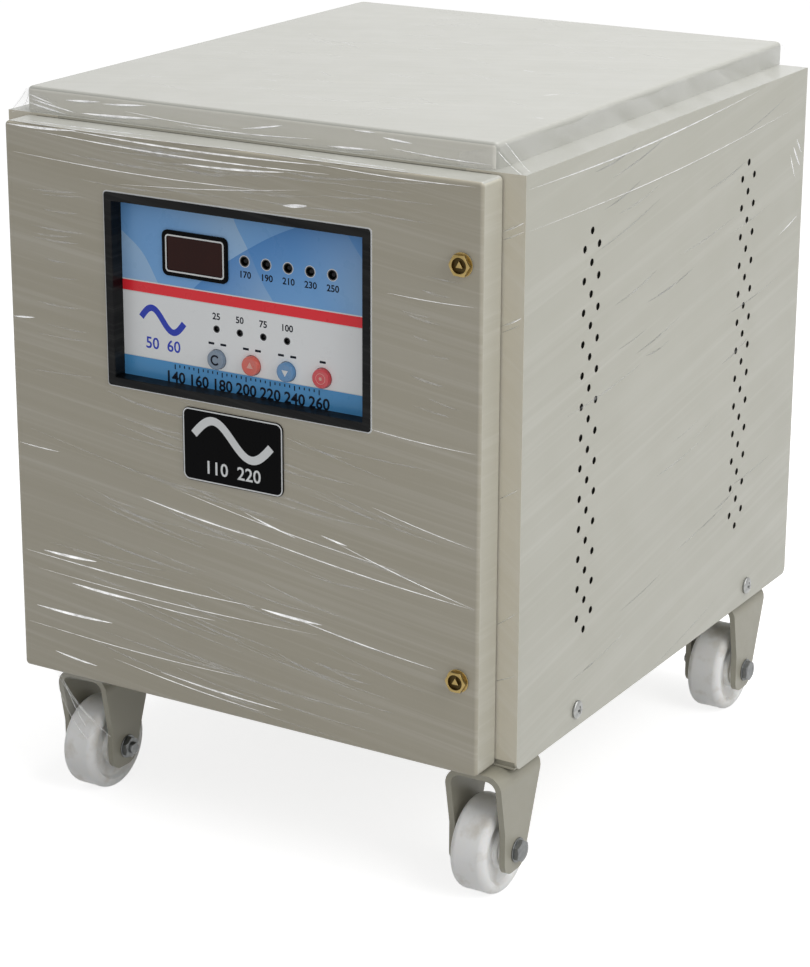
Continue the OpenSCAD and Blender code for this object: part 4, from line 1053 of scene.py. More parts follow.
@dataclass
class CaseShell:
    """The folded sheet case: panels with their bends, the cover, vents and screws."""

    bend: float = 2.0
    cover_bend: float = 3.2
    vent_d: float = 5.2
    vent_pitch: float = 20.0
    vent_step: float = 9.6
    vent_rows: int = 14
    vent_low: float = 152.0
    vent_middles: Pair = (86.0, 316.0)
    rim: float = 0.22
    screw_head: float = 12.0
    screw_rise: float = 3.0
    side_screws: Pair = (79.0, 340.0)
    side_screw_z: float = 99.5
    rear_screw_x: float = 179.0
    rear_screws: Triple = (127.0, 274.5, 422.0)

    def side(self, node: str, face: float) -> None:
        """Bends one side panel's edges and lays its film."""
        panel = Solid.copy_of(node, SIDE_PAINT)

        def on_face(a: Vector, b: Vector) -> bool:
            """Picks what lies in the outer face."""
            return near(a.x, face) and near(b.x, face)

        def at_front(a: Vector, b: Vector) -> bool:
            """Picks what lies in the front strip."""
            return near(a.y, 0) and near(b.y, 0)

        def bends(a: Vector, b: Vector) -> bool:
            """Picks the three long bends round the outer face."""
            front = at_front(a, b)
            rear = near(a.y, CAB_D) and near(b.y, CAB_D)
            top = near(a.z, TOP_Z) and near(b.z, TOP_Z)
            return on_face(a, b) and (front or rear or top) and (a - b).length > 50

        panel.round_edges(bends, self.bend, 5)
        panel.round_edges(lambda a, b: on_face(a, b) and max(a.z, b.z) < BASE_Z + 5.3, 0.5)
        panel.round_edges(lambda a, b: at_front(a, b) and near(a.x, b.x) and (a - b).length > 50, 0.5)
        # Painted light: the front strip takes the lighter copy of the paint, the top flange the cover's copy
        panel.paint(lambda c: c.y < 0.3, STRIP_LIT_PAINT)
        panel.paint(lambda c: c.z > TOP_Z - 0.3, COVER_PAINT)
        panel.paint(lambda c: abs(c.x) < RIGHT - 1.4 and c.y > 1.4 and c.z < TOP_Z - 1.4, BARE_PAINT)
        # Painted shade: the walls of the vent holes are dark
        panel.paint(lambda c: 0.05 < RIGHT - abs(c.x) < 1.4 and 3 < c.y < CAB_D - 3
                    and BASE_Z + 3 < c.z < TOP_Z - 3, HOLE_WALL_SHADE)
        panel.done(node.replace("panel", "sheet"), "case_paint", node)

    def plates(self) -> None:
        """Softens the cut edges of the pan, the back and the front frame."""
        for node in ("base_pan", "rear_panel", "front_frame"):
            plate = Solid.copy_of(node, SIDE_PAINT if node == "rear_panel" else BARE_PAINT)
            plate.round_edges(lambda a, b: (a - b).length > 60, 0.4, 2)
            # Painted light: faces turned up take the cover's copy of the paint
            plate.paint(lambda c: c.z > TOP_Z - 0.3, COVER_PAINT)
            plate.done(node + "_sheet", "case_paint", node)

    def cover(self) -> None:
        """Rounds the cover's upper rim."""
        cover = Solid.copy_of("top_cover", COVER_PAINT)
        high = node_box("top_cover")[1].z
        cover.round_edges(lambda a, b: near(a.z, high) and near(b.z, high), self.cover_bend, 6)
        # Painted light: the front rim takes the much lighter copy of the paint
        cover.paint(lambda c: c.z < high - 1.5 and c.y < 6, COVER_EDGE_LIT_PAINT)
        cover.done("top_cover_sheet", "case_paint", "top_cover")

    def vents(self) -> None:
        """Sets a small rolled rim round every vent hole of both sides."""
        places = []
        for side in (0.15 - RIGHT, RIGHT - 0.15):
            for middle in self.vent_middles:
                for column in (-1, 0, 1):
                    y = middle + column * self.vent_step
                    low = self.vent_low + abs(column) / 2 * self.vent_pitch
                    rows = range(self.vent_rows - abs(column))
                    places += [(side, y, low + row * self.vent_pitch) for row in rows]
        tree = Tree("vent_rims")
        hole = tree.value("Hole radius", "Float", self.vent_d / 2 * MM)
        wire = tree.value("Rim radius", "Float", self.rim * MM)
        loop = tree.add("GeometryNodeCurvePrimitiveCircle", {"Resolution": 20}, {"Radius": hole})
        section = tree.add("GeometryNodeCurvePrimitiveCircle", {"Resolution": 6}, {"Radius": wire})
        links = {"Curve": loop.outputs["Curve"], "Profile Curve": section.outputs["Curve"]}
        tree.stand(tree.add("GeometryNodeCurveToMesh", links=links).outputs["Mesh"], SIDE_PAINT)
        settle(tree.grow(SIDE_PAINT, places, [(0, 90, 0)] * len(places)), "case", smooth=80)

    def screws(self) -> None:
        """Sets the pan-head screws of both sides and the back."""
        half, rise = self.screw_head / 2, self.screw_rise
        screw = Solid(ZINC)
        turns = [t * math.pi / 16 for t in range(8, -1, -1)]
        crown = [(half * math.sin(t), rise * (0.35 + 0.65 * math.cos(t))) for t in turns]
        screw.lathe([(0, -7.9), (2.2, -7.9), (2.9, -7.0), (2.9, 0), (half - 0.2, 0), *crown], UPRIGHT, 36)
        recess = Solid(ZINC)
        quarters = [Matrix.Rotation(math.radians(90 * k), 3, "Z") for k in range(4)]
        loops = []
        for long, wide, height in ((1.3, 0.45, rise - 1.8), (3.4, 1.0, rise + 0.5)):
            corners = [Vector((x, y, height)) for x, y in ((long, -wide), (long, wide), (wide, wide))]
            loops.append([turn @ corner for turn in quarters for corner in corners])
        recess.loft(loops, UPRIGHT)
        carve(screw, recess)
        places, aims = [], []
        for sign in (-1, 1):
            places += [(sign * RIGHT, y, self.side_screw_z) for y in self.side_screws]
            places += [(sign * self.rear_screw_x, CAB_D, z) for z in self.rear_screws]
            aims += [(0, sign * 90, 0)] * len(self.side_screws) + [(-90, 0, 0)] * len(self.rear_screws)
        repeat_shape("case_pan_screws", screw, places, aims, "zinc_steel", "case_screws")

    def build(self) -> None:
        """Builds the shell."""
        self.side("right_side_panel", RIGHT)
        self.side("left_side_panel", -RIGHT)
        self.plates()
        self.cover()
        self.vents()
        self.screws()


@dataclass
class Casters:
    """Four rigid casters: bent forks, moulded wheels and their fasteners."""

    radius: float = 31.0
    tread: float = 25.0
    edge: float = 5.0
    hub: float = 11.0
    hub_half: float = 15.7
    bore: float = 7.05
    recess: Triple = (13.0, 24.0, 3.0)
    fork: float = 40.0
    plate: float = 4.0
    axle_z: float = 31.0
    fix: Pair = (5.4, 23.4)

    def wheel_profile(self) -> Flat:
        """Gives half the wheel's closed section as radius and height, then its mirror image."""
        inner, outer, deep = self.recess
        face = self.tread / 2
        floor = face - deep
        half = [(self.bore, self.hub_half), (self.hub - 0.7, self.hub_half), (self.hub, self.hub_half - 0.7)]
        half += [(self.hub, face + 0.4), (self.hub + 0.4, face), (inner - 0.5, face)]
        half += [(inner + 0.2, face - 0.5), (inner + 1.2, floor + 0.5), (inner + 2.2, floor)]
        half += [(outer - 2.4, floor), (outer - 1.2, floor + 0.5), (outer - 0.2, face - 0.6)]
        half.append((outer + 0.6, face))
        half += arc_path(self.edge, 90, 0, 9, self.radius - self.edge, face - self.edge)
        half.append((self.radius - 0.12, 3.0))
        return half + [(r, -h) for r, h in half[::-1]] + half[:1]

    def caster(self, name: str, x: float, y: float) -> None:
        """Moulds one wheel and bends its fork."""
        wheel = Solid(NYLON)
        wheel.lathe(self.wheel_profile(), Facing.RIGHT.at(x, y, self.axle_z), 96)
        wheel.done(name + "_nylon_wheel", "white_nylon", name + "_wheel", body=name + "_wheel_body")
        # The fork takes the darker copy of the paint: painted shade
        fork = Solid.copy_of(name + "_fork", CASTER_SHADED_PAINT)

        def free(a: Vector, b: Vector) -> bool:
            """Picks the edges away from the axle's hole and from what the fork is bolted to."""
            outside = a.z < BASE_Z - 2 or abs(a.x - x) > 15 or a.y < y - 10
            return math.hypot(a.y - y, a.z - self.axle_z) > 6 and outside

        fork.round_edges(free, 0.7)
        fork.done(name + "_bent_fork", "caster_paint", name + "_fork")

    def build(self) -> None:
        """Builds forks, wheels and fasteners."""
        bolts, nuts, fixes, aims = [], [], [], []
        for name, sign in (("front_left", -1), ("front_right", 1), ("rear_left", -1), ("rear_right", 1)):
            low, high = node_box(name + "_wheel")
            x, y, _ = (low + high) / 2
            self.caster(name, x, y)
            bolts.append((x + sign * self.fork / 2, y, self.axle_z))
            nuts.append((x - sign * self.fork / 2, y, self.axle_z))
            fixes += [(x, y + f, BASE_Z - self.plate) for f in self.fix]
            aims.append((0, 90 * sign, 0))
        bolt = hex_bolt(DARK_ZINC, 13, 3.5, (16, 1.0), (8, 46.9))
        repeat_shape("caster_axle_bolts", bolt, bolts, aims, "zinc_steel", "axle_bolts")
        nut = hex_bolt(DARK_ZINC, 13, 3.5, (16, 1.0), (8.1, 0.4))
        aims = [(0, -turn, 0) for _, turn, _ in aims]
        repeat_shape("caster_axle_nuts", nut, nuts, aims, "zinc_steel", "axle_nuts")
        fix = hex_bolt(ZINC, 10, 4, (12, 0.0), (6, 12.4))
        fix.slab(outline_round(10 / math.sqrt(3), 6), shifted(UPRIGHT, 0, 0, -self.plate - SHEET - 5), 5.0)
        repeat_shape("caster_fixing_bolts", fix, fixes, [(180, 0, 0)], "zinc_steel", "fork_fasteners")
        dress("axle_sleeves", GROUND_STEEL)


@dataclass
class Door:
    """The folded door with its hinges, badge and latches."""

    bend: float = 2.4
    hinge_x: float = -170.5
    hinge_y: float = -14.5
    hinge_heights: Pair = (147.8, 400.5)
    latch_x: float = 161.3
    latch_heights: Pair = (149.5, 410.5)
    latch_flats: float = 12.5
    latch_head: float = 3.4
    recess: float = 4.85
    recess_depth: float = 2.2
    badge: Triple = (75.5, 48.0, 1.0)
    badge_at: Pair = (-2.0, 268.5)

    def panel(self) -> None:
        """Bends the door's front rim and lays its film."""
        panel = Solid.copy_of("door_panel", DOOR_PAINT)
        low, high = node_box("door_panel")
        wall = 1.2

        def rim(a: Vector, b: Vector) -> bool:
            """Picks the outline of the front face."""
            inset = [min(p.x - low.x, high.x - p.x, p.z - low.z, high.z - p.z) for p in (a, b)]
            return near(a.y, DOOR_FACE) and near(b.y, DOOR_FACE) and max(inset) < 3.2

        def inside(c: Vector) -> bool:
            """Picks what the folded edges enclose."""
            return c.y > DOOR_FACE + wall and abs(c.x) < high.x - wall and low.z + wall < c.z < high.z - wall

        panel.round_edges(rim, self.bend, 5)
        # Painted light: the right edge takes a lighter copy of the paint, the top face the cover's copy
        panel.paint(lambda c: c.x > high.x - wall and c.y > DOOR_FACE + 2, DOOR_EDGE_LIT_PAINT)
        panel.paint(lambda c: c.z > high.z - wall and c.y > DOOR_FACE + 2, COVER_PAINT)
        panel.paint(inside, BARE_PAINT)
        panel.done("door_sheet", "case_paint", "door_panel", body="door")

    def hinges(self) -> None:
        """Rounds the hinges' arms and lugs and turns their pins."""
        for node, body in (("hinge_arms", "case"), ("hinge_lugs", "door")):
            part = Solid.copy_of(node, BARE_PAINT)
            part.round_edges(lambda a, b: level(a, b) and (a - b).length > 2, 0.3, 2)
            part.done(node + "_pressed", "case_paint", node, body=body)
        pins = Solid(ZINC)
        half = [(2, 7.5), (2.7, 7.5), (2.7, 8.6), (2.2, 9), (0, 9)]
        for z in self.hinge_heights:
            place = Facing.TOP.at(self.hinge_x, self.hinge_y, z)
            pins.lathe([(r, -h) for r, h in half[::-1]] + half, place, 32)
        pins.done("hinge_turned_pins", "zinc_steel", "hinge_pins")

    def latch(self, name: str, z: float) -> None:
        """Turns one quarter-turn latch with its cam."""
        latch = Solid(BRASS)
        front = Facing.FRONT.at(self.latch_x, DOOR_FACE, z)
        latch.lathe([(0, 0.32), (7.2, 0.32), (7.5, 0.5), (7.5, 0.8), (7.2, 1.0), (0, 1.0)], front, 44)
        top = 1.0 + self.latch_head
        latch.loft(hex_head(self.latch_flats, 0.9, top, self.recess, self.recess_depth), front)
        floor = top - self.recess_depth
        latch.slab(outline_round(2.8, 3, 90), front, floor + 1.8, 0.35, sink=-floor)
        latch.tube([front @ Vector((0, 0, 0.5)), front @ Vector((0, 0, -30.6))], 3.0, 24)
        # Painted shade: the faces inside the hex recess take the dark brass
        latch.paint(lambda c: math.hypot(c.x - self.latch_x, c.z - z) < self.recess + 0.05
                    and DOOR_FACE - floor - 0.15 < c.y < DOOR_FACE - 2.0, BRASS_RECESS_SHADE)
        latch.paint(lambda c: DOOR_FACE - 0.9 < c.y < DOOR_FACE, ZINC)
        latch.done(name + "_turned", "brass", name + "_spindle", body=name)
        cam = Solid.copy_of(name + "_cam", ZINC)
        cam.round_edges(lambda a, b: near(a.y, b.y) and math.hypot(a.x - self.latch_x, a.z - z) > 4, 0.3, 2)
        cam.done(name + "_cam_plate", "zinc_steel", name + "_cam", body=name)

    def plate(self) -> None:
        """Makes the badge plate, with a pale outline and a plain alternating-current sign."""
        width, height, thick = self.badge
        front = Facing.FRONT.at(self.badge_at[0], DOOR_FACE, self.badge_at[1])
        plate = Solid(DEEP_BLACK)
        plate.slab(outline_box(width, height, 5.0, 8), front, thick, 0.35)
        face = shifted(front, 0, 0, thick)
        plate.rim((width, height), (0.7, 2.4), (4.6, 3.8), face, INK, WHITE_INK, INK)
        plate.stamp(outline_stroke(sine_path(58, 10.5), 5.4), shifted(face, 0, 7.0, 0), WHITE_INK)
        plate.letters("110  220", 8.4, shifted(face, 0, -14.0, 0), WHITE_INK, bold=0.02)
        plate.done("badge_printed_plate", "badge_black", "badge_plate", body="door")

    def build(self) -> None:
        """Builds the door."""
        self.panel()
        self.hinges()
        bushes = Solid(ZINC)
        section = [(3.05, 0), (8.5, 0), (8.5, 2.2), (6.6, 2.6), (6.6, 5.6), (6.2, 6), (3.05, 6), (3.05, 0)]
        for name, z in zip(("lower_latch", "upper_latch"), self.latch_heights):
            self.latch(name, z)
            bushes.lathe(section, Facing.REAR.at(self.latch_x, DOOR_FACE + SHEET, z), 36)
        bushes.done("latch_turned_bushes", "zinc_steel", "latch_bushes", body="door")
        self.plate()


@dataclass
class Display:
    """The sunken display: black frame, printed panel, digit window, lamps and push buttons."""

    middle: Pair = (1.0, 360.7)
    frame_size: Pair = (196.0, 126.0)
    panel_y: float = -14.1
    board_y: float = -3.6
    stripe: Pair = (-1.7, 5.1)
    band: float = -44.4
    window: Pair = (-35.8, 26.9)
    window_size: Pair = (49.5, 29.3)
    lamps: Row = (1.0, 16.0, 28.5, 5)
    small: Row = (-20.7, 17.5, -17.8, 4)
    buttons: Row = (-20.3, 26.0, -37.3, 4)
    cap_d: float = 12.5
    scale: Pair = (-53.0, 18.0)

    def spot(self, x: float, z: float, y: float | None = None) -> Matrix:
        """Gives the place on the printed panel's face at a distance from its middle."""
        return Facing.FRONT.at(self.middle[0] + x, self.panel_y if y is None else y, self.middle[1] + z)

    def row(self, values: Row) -> list[Pair]:
        """Lists the places of a row from its start, pitch, height and count."""
        start, pitch, up, count = values
        return [(start + i * pitch, up) for i in range(count)]

    def frame(self) -> None:
        """Softens the black frame and lays a thin pale line round it, a painted highlight along the door's cut
        edge.
        """
        front = node_box("display_bezel")[0].y
        bezel = Solid.copy_of("display_bezel", FRAME_ABS)
        bezel.round_edges(lambda a, b: near(a.y, front) and near(b.y, front), 0.5)
        bezel.done("display_moulded_frame", "black_plastic", "display_bezel", body="door")
        # Painted highlight: a thin pale ring on the door round the frame, where its cut edge catches light
        line = Solid(WHITE_INK)
        face = self.spot(0, 0, DOOR_FACE)
        line.rim(self.frame_size, (-1.7, 0.2), (2.6, 2.0), face, 0.3, sink=0.02, steps=6)
        line.done("display_sealing_line", "black_plastic", body="door")

    def fields(self, panel: Solid) -> None:
        """Parts the panel's face into its colour fields, from the red stripe down."""
        x0, z0 = self.middle
        low, high = self.stripe
        bands = ((high + 0.8, WHITE_INK), (high, RED_PRINT), (low, WHITE_INK), (low - 0.8, PALE_PRINT),
                 (self.band + 0.6, WHITE_INK), (self.band, BAND_PRINT))
        for top, _ in bands:
            everything = panel.bm.verts[:] + panel.bm.edges[:] + panel.bm.faces[:]
            bmesh.ops.bisect_plane(panel.bm, geom=everything, plane_co=(x0, 0, z0 + top), plane_no=(0, 0, 1))
        for top, ink in bands:
            panel.paint(lambda c, top=top: c.z - z0 < top, ink)
        panel.paint(lambda c: c.y > self.panel_y + 0.1, BLACK_ABS)

    def scale_marks(self, panel: Solid) -> None:
        """Prints the voltage scale on the lower band."""
        start, pitch = self.scale
        for i in range(31):
            tall = 3.2 if i % 5 == 0 else 1.8
            place = self.spot(start + i * pitch / 5, -45.6 - tall / 2)
            panel.stamp(outline_box(0.8, tall, 0.2), place, NAVY_INK)
        for i in range(7):
            place = self.spot(start + i * pitch, -54.4)
            panel.letters(str(140 + 20 * i), 7.2, place, NAVY_INK, INK * 1.4, 0.03)

    def panel(self) -> None:
        """Prints the panel: its colour fields, rings, figures and plain signs."""
        panel = Solid.copy_of("fascia_panel", SKY_PRINT)
        self.fields(panel)
        for i, (x, z) in enumerate(self.row(self.lamps)):
            place = self.spot(x, z)
            panel.washer(3.85, 3.4, 32, place, INK, WHITE_INK, INK)
            panel.washer(3.4, 2.75, 32, place, INK, EPOXY_BLACK, INK)
            panel.letters(str(170 + 20 * i), 4.2, self.spot(x + 0.3, z - 8.6), NAVY_INK, bold=0.03)
        for i, (x, z) in enumerate(self.row(self.small)):
            panel.washer(2.4, 1.75, 24, self.spot(x, z), INK, EPOXY_BLACK, INK)
            panel.letters(str(25 * (i + 1)), 4.2, self.spot(x, z + 8.0), NAVY_INK, bold=0.03)
        for i, (x, z) in enumerate(self.row(self.buttons)):
            for side in (-4.5, 4.5) if i < 3 else (0.0,):
                panel.stamp(outline_box(4.4, 1.5, 0.4), self.spot(x + side, z + 9.9), NAVY_INK)
        self.scale_marks(panel)
        panel.stamp(outline_stroke(sine_path(33, 7.0), 4.2), self.spot(-62.0, -18.0), BLUE_INK)
        panel.letters("50  60", 7.4, self.spot(-62.0, -34.5), BLUE_INK, bold=0.02)
        panel.done("fascia_printed_panel", "printed_panel", "fascia_panel", body="door")

    def screen(self) -> None:
        """Makes the digit window: black surround, pale inner line, dark red acrylic and the digits behind."""
        wide, tall = self.window_size
        size = self.window_size
        surround = Solid(DEEP_BLACK)
        place = self.spot(*self.window)
        surround.rim(size, (0.0, 7.4), (4.0, 1.4), place, 1.0)
        surround.rim(size, (1.2, 7.0), (3.6, 1.4), shifted(place, 0, 0, 0.9), 0.3)
        surround.rim(size, (5.2, 7.2), (2.4, 1.5), shifted(place, 0, 0, 1.2), 0.03, WHITE_INK, 0.03)
        surround.done("screen_black_surround", "black_plastic", "screen_surround", body="door")
        glass = Solid(SMOKED_RED)
        glass.slab(outline_box(wide - 7.5, tall - 7.5, 1.3), place, 0.6, 0.15)
        glass.done("screen_smoked_window", "dark_red_acrylic", "screen_window", body="door")
        digits = Solid(EPOXY_BLACK)
        low, high = node_box("digit_module")
        digits.box(low, high, 0.5)
        for shift in (-12.4, 0, 12.4):
            front = self.spot(self.window[0] + shift, self.window[1], low.y)
            digits.letters("8", 13.0, front, PALE_PRINT, 0.04)
        digits.done("digit_segment_module", "digit_housing", "digit_module", body="door")

    def lamp_row(self, name: str, values: Row, half: float) -> None:
        """Sets a row of lamps on the board, each with legs, flange, barrel and dome."""
        lamp = Solid(SMOKED_LENS)
        reach = self.board_y - (self.panel_y + 0.6)
        foot = [(0, reach - 9.5), (half + 0.4, reach - 9.5), (half + 0.4, reach - 8.6), (half, reach - 8.5)]
        lamp.lathe(foot + arc_path(half, 0, 90, 6, 0, reach - half), UPRIGHT, 24)
        for side in (-1.27, 1.27):
            x = side * half / 2.5
            lamp.tube([(x, 0, 0), (x, 0, reach - 9.0)], 0.28, 6)
        places = [(self.middle[0] + x, self.board_y, self.middle[1] + z) for x, z in self.row(values)]
        repeat_shape(name, lamp, places, [(90, 0, 0)], "lamp_lens", "indicator_lamps", body="door")

    def caps(self) -> None:
        """Makes the four push buttons, each with a plain sign on its crown."""
        half = self.cap_d / 2
        rim = [(0, -6.2), (1.9, -6.2), (2.0, -3.3), (half + 1.4, -3.3), (half + 1.4, -2.3), (half, -2.3)]
        crown = [(half, 0.5), (half, 2.2), (half - 0.25, 2.8), (half - 0.9, 3.15), (half - 1.5, 3.2)]
        crown += [(half - 2.0, 2.95), (2.0, 2.75), (0, 2.72)]
        signs = (outline_stroke(arc_path(2.9, 40, 320), 1.3), outline_round(2.7, 3, 90),
                 outline_round(2.7, 3, -90), outline_round(1.1, 20))
        names = ("grey", "orange", "blue", "red")
        finishes = (GREY_CAP, ORANGE_CAP, BLUE_CAP, RED_CAP)
        inks = (NAVY_INK, GLYPH_PALE, WHITE_INK, GLYPH_PALE)
        for spot, name, finish, ink, sign in zip(self.row(self.buttons), names, finishes, inks, signs):
            cap = Solid(finish)
            place = self.spot(*spot)
            cap.lathe(rim + crown, place, 44)
            face = shifted(place, 0, 0, 2.76)
            if name == "red":
                cap.washer(3.7, 3.2, 32, face, 0.12, ink)
            cap.slab(sign, face, 0.12, finish=ink)
            cap.done(f"{name}_button_cap", f"{name}_cap", f"{name}_button", body=f"{name}_button_body")

    def build(self) -> None:
        """Builds the display."""
        self.frame()
        self.panel()
        self.screen()
        self.lamp_row("upper_lamps", self.lamps, 2.5)
        self.lamp_row("lower_lamps", self.small, 1.5)
        self.caps()
        ControlBoard(self).build()


@dataclass
class ControlBoard:
    """The control board behind the display, with its parts."""

    display: Display
    marks: int = 46
    seed: int = 7
    pin_pitch: float = 2.54
    screw_pitch: float = 5.0

    def __post_init__(self) -> None:
        """Measures the board and starts its parts."""
        self.low, self.high = node_box("control_board")
        self.back = self.high.y
        self.parts = Solid(EPOXY_BLACK)

    def spot(self, x: float, z: float) -> Pair:
        """Gives the place at shares of the board's width and height from its middle."""
        low, high = self.low, self.high
        return (low.x + high.x) / 2 + x * (high.x - low.x), (low.z + high.z) / 2 + z * (high.z - low.z)

    def face(self) -> None:
        """Makes the board with its tinned tracks."""
        board = Solid(SOLDER_MASK)
        board.box(self.low, self.high, 0.3)
        picker = random.Random(self.seed)
        for _ in range(self.marks):
            x, z = self.spot(picker.uniform(-0.46, 0.46), picker.uniform(-0.44, 0.44))
            mark = Facing.REAR.at(x, self.back, z, picker.choice((0, 90)))
            board.slab(outline_box(picker.uniform(3, 12), 0.5, 0.2, 2), mark, 0.03, finish=ZINC, sink=0.02)
        board.done("control_board_masked", "circuit_board", "control_board", body="door")

    def stand(self, x: float, z: float, size: Triple, finish: Finish, edge: float = 0.0) -> None:
        """Stands one block of a width, height and depth on the board's back, about a place in mm."""
        wide, tall, deep = size
        low = (x - wide / 2, self.back, z - tall / 2)
        self.parts.box(low, (x + wide / 2, self.back + deep, z + tall / 2), edge, finish)

    def socket(self, share: float, count: int) -> None:
        """Makes one row of plug contacts in its open housing."""
        x, z = self.spot(share, -0.32)
        long = count * self.screw_pitch
        self.stand(x, z, (long, 10, 3.0), SOCKET_CREAM, 0.4)
        self.stand(x, z + 4.1, (long, 1.8, 10), SOCKET_CREAM, 0.3)
        for k in range(count):
            self.stand(x - long / 2 + (k + 0.5) * self.screw_pitch, z, (0.9, 0.9, 9.0), ZINC, 0.1)

    def build(self) -> None:
        """Builds the board: small transformer, relays, chip, sockets, capacitors and switches."""
        self.face()
        self.stand(*self.spot(-0.33, 0.21), (42, 26, 34), LAMINATIONS, 0.3)
        self.stand(*self.spot(-0.33, 0.21), (27, 36, 31), TAPE, 1.5)
        for share in (-0.05, 0.09, 0.23, 0.37):
            self.stand(*self.spot(share, 0.28), (19, 16, 15), RELAY_BLUE, 0.8)
            self.stand(*self.spot(share, 0.28), (16, 13, 15), RELAY_BLUE, 0.4)
        x, z = self.spot(0.06, -0.08)
        self.stand(x, z, (36, 13, 4), EPOXY_BLACK, 0.4)
        for i in range(14):
            for side in (-7.0, 7.0):
                self.stand(x - 16.5 + i * self.pin_pitch, z + side, (0.6, 1.0, 2.2), ZINC)
        self.socket(-0.17, 12)
        self.socket(0.25, 8)
        can = [(0, 0), (4.7, 0), (5, 0.5), (5, 2.2), (4.6, 2.7), (5, 3.2), (5, 15.5), (4.5, 16), (3.6, 16)]
        can += [(3.5, 15.8), (0, 15.8)]
        for shares in ((-0.08, 0.08), (0.29, 0.0), (0.37, 0.0)):
            x, z = self.spot(*shares)
            self.parts.lathe(can, Facing.REAR.at(x, self.back, z), 28, CAP_SLEEVE)
        plunger = [(0, 0), (1.7, 0), (1.7, 0.2), (1.6, 0.25), (0, 0.25)]
        front = self.low.y - 2.9
        for x, z in self.display.row(self.display.buttons):
            px, pz = self.display.middle[0] + x, self.display.middle[1] + z
            self.parts.box((px - 3, front, pz - 3), (px + 3, self.low.y, pz + 3), 0.3, ZINC)
            self.parts.lathe(plunger, Facing.FRONT.at(px, front, pz), 20, EPOXY_BLACK)
        self.parts.done("board_detailed_parts", "board_parts", "board_components", body="door")
        dress("board_standoffs", ZINC)


@dataclass
class RearFittings:
    """Cable glands and the earth stud, which pass through the back."""

    face: float = 408.5
    height: float = 147.0
    gland_x: float = 60.0
    stud_x: float = -140.0
    flats: float = 30.0
    hex_h: float = 6.0
    bore: float = 7.0
    thread_d: float = 22.0
    inside: float = 11.5
    cap: tuple[Triple, ...] = (
        (12.6, 0.5, 6.0), (13.0, 0.8, 6.6), (13.0, 0.8, 16.5), (12.2, 0.5, 18.5), (10.6, 0.0, 21.0),
        (9.4, 0.0, 22.0), (7.6, 0.0, 22.0), (7.0, 0.0, 21.2), (7.0, 0.0, -11.5))

    def gland(self) -> Solid:
        """Draws one gland about the panel's face: hexagon, fluted cap, thread, nut and rubber seal."""
        gland = Solid(BLACK_ABS)
        gland.ring(hexagon(self.flats), outline_round(self.bore + 1, 36), UPRIGHT, self.hex_h)
        sections = list(self.cap)
        for i in range(8):
            low = -self.inside + i * 1.4
            sections += [(self.thread_d / 2 - 0.7, 0.0, low), (self.thread_d / 2, 0.0, low + 0.7)]
        loops = []
        for radius, flute, height in sections:
            spokes = [radius - flute * (i % 6 > 2) for i in range(96)]
            loops.append([(r * x, r * y, height) for r, (x, y) in zip(spokes, outline_round(1, 96))])
        gland.loft(loops + loops[:1], UPRIGHT, caps=False)
        nut = shifted(UPRIGHT, 0, 0, -6.5)
        gland.ring(hexagon(self.flats), outline_round(self.thread_d / 2 - 0.3, 36), nut, 5.0)
        gland.washer(self.bore, self.bore - 1.6, 36, shifted(UPRIGHT, 0, 0, 17), 4.0)
        return gland

    def stud(self) -> None:
        """Turns the earth stud with its thread, nuts and washer."""
        stud = Solid(BRASS)
        place = Facing.REAR.at(self.stud_x, self.face, self.height)
        ridges = []
        for i in range(22):
            ridges += [(2.65, 2.2 + i * 0.7), (3.0, 2.55 + i * 0.7)]
        stud.lathe([(0, -9.5), (2.6, -9.5), (3, -8.9), (3, 2.0)] + ridges + [(2.4, 18), (0, 18)], place, 28)
        stud.loft(hex_head(14, 0, 2), place)
        stud.loft(hex_head(14, -3.5, -1.5), place)
        stud.washer(7.6, 3.1, 32, shifted(place, 0, 0, 6.4), 1.0, ZINC)
        stud.loft(hex_head(10, 7.4, 12.0), place, ZINC)
        stud.done("earth_threaded_stud", "brass", "earth_stud")

    def build(self) -> None:
        """Builds both glands and the stud."""
        places = [(sign * self.gland_x, self.face, self.height) for sign in (-1, 1)]
        aims = [(-90, 0, 0)]
        repeat_shape("cable_ribbed_glands", self.gland(), places, aims, "black_plastic", "cable_glands")
        self.stud()


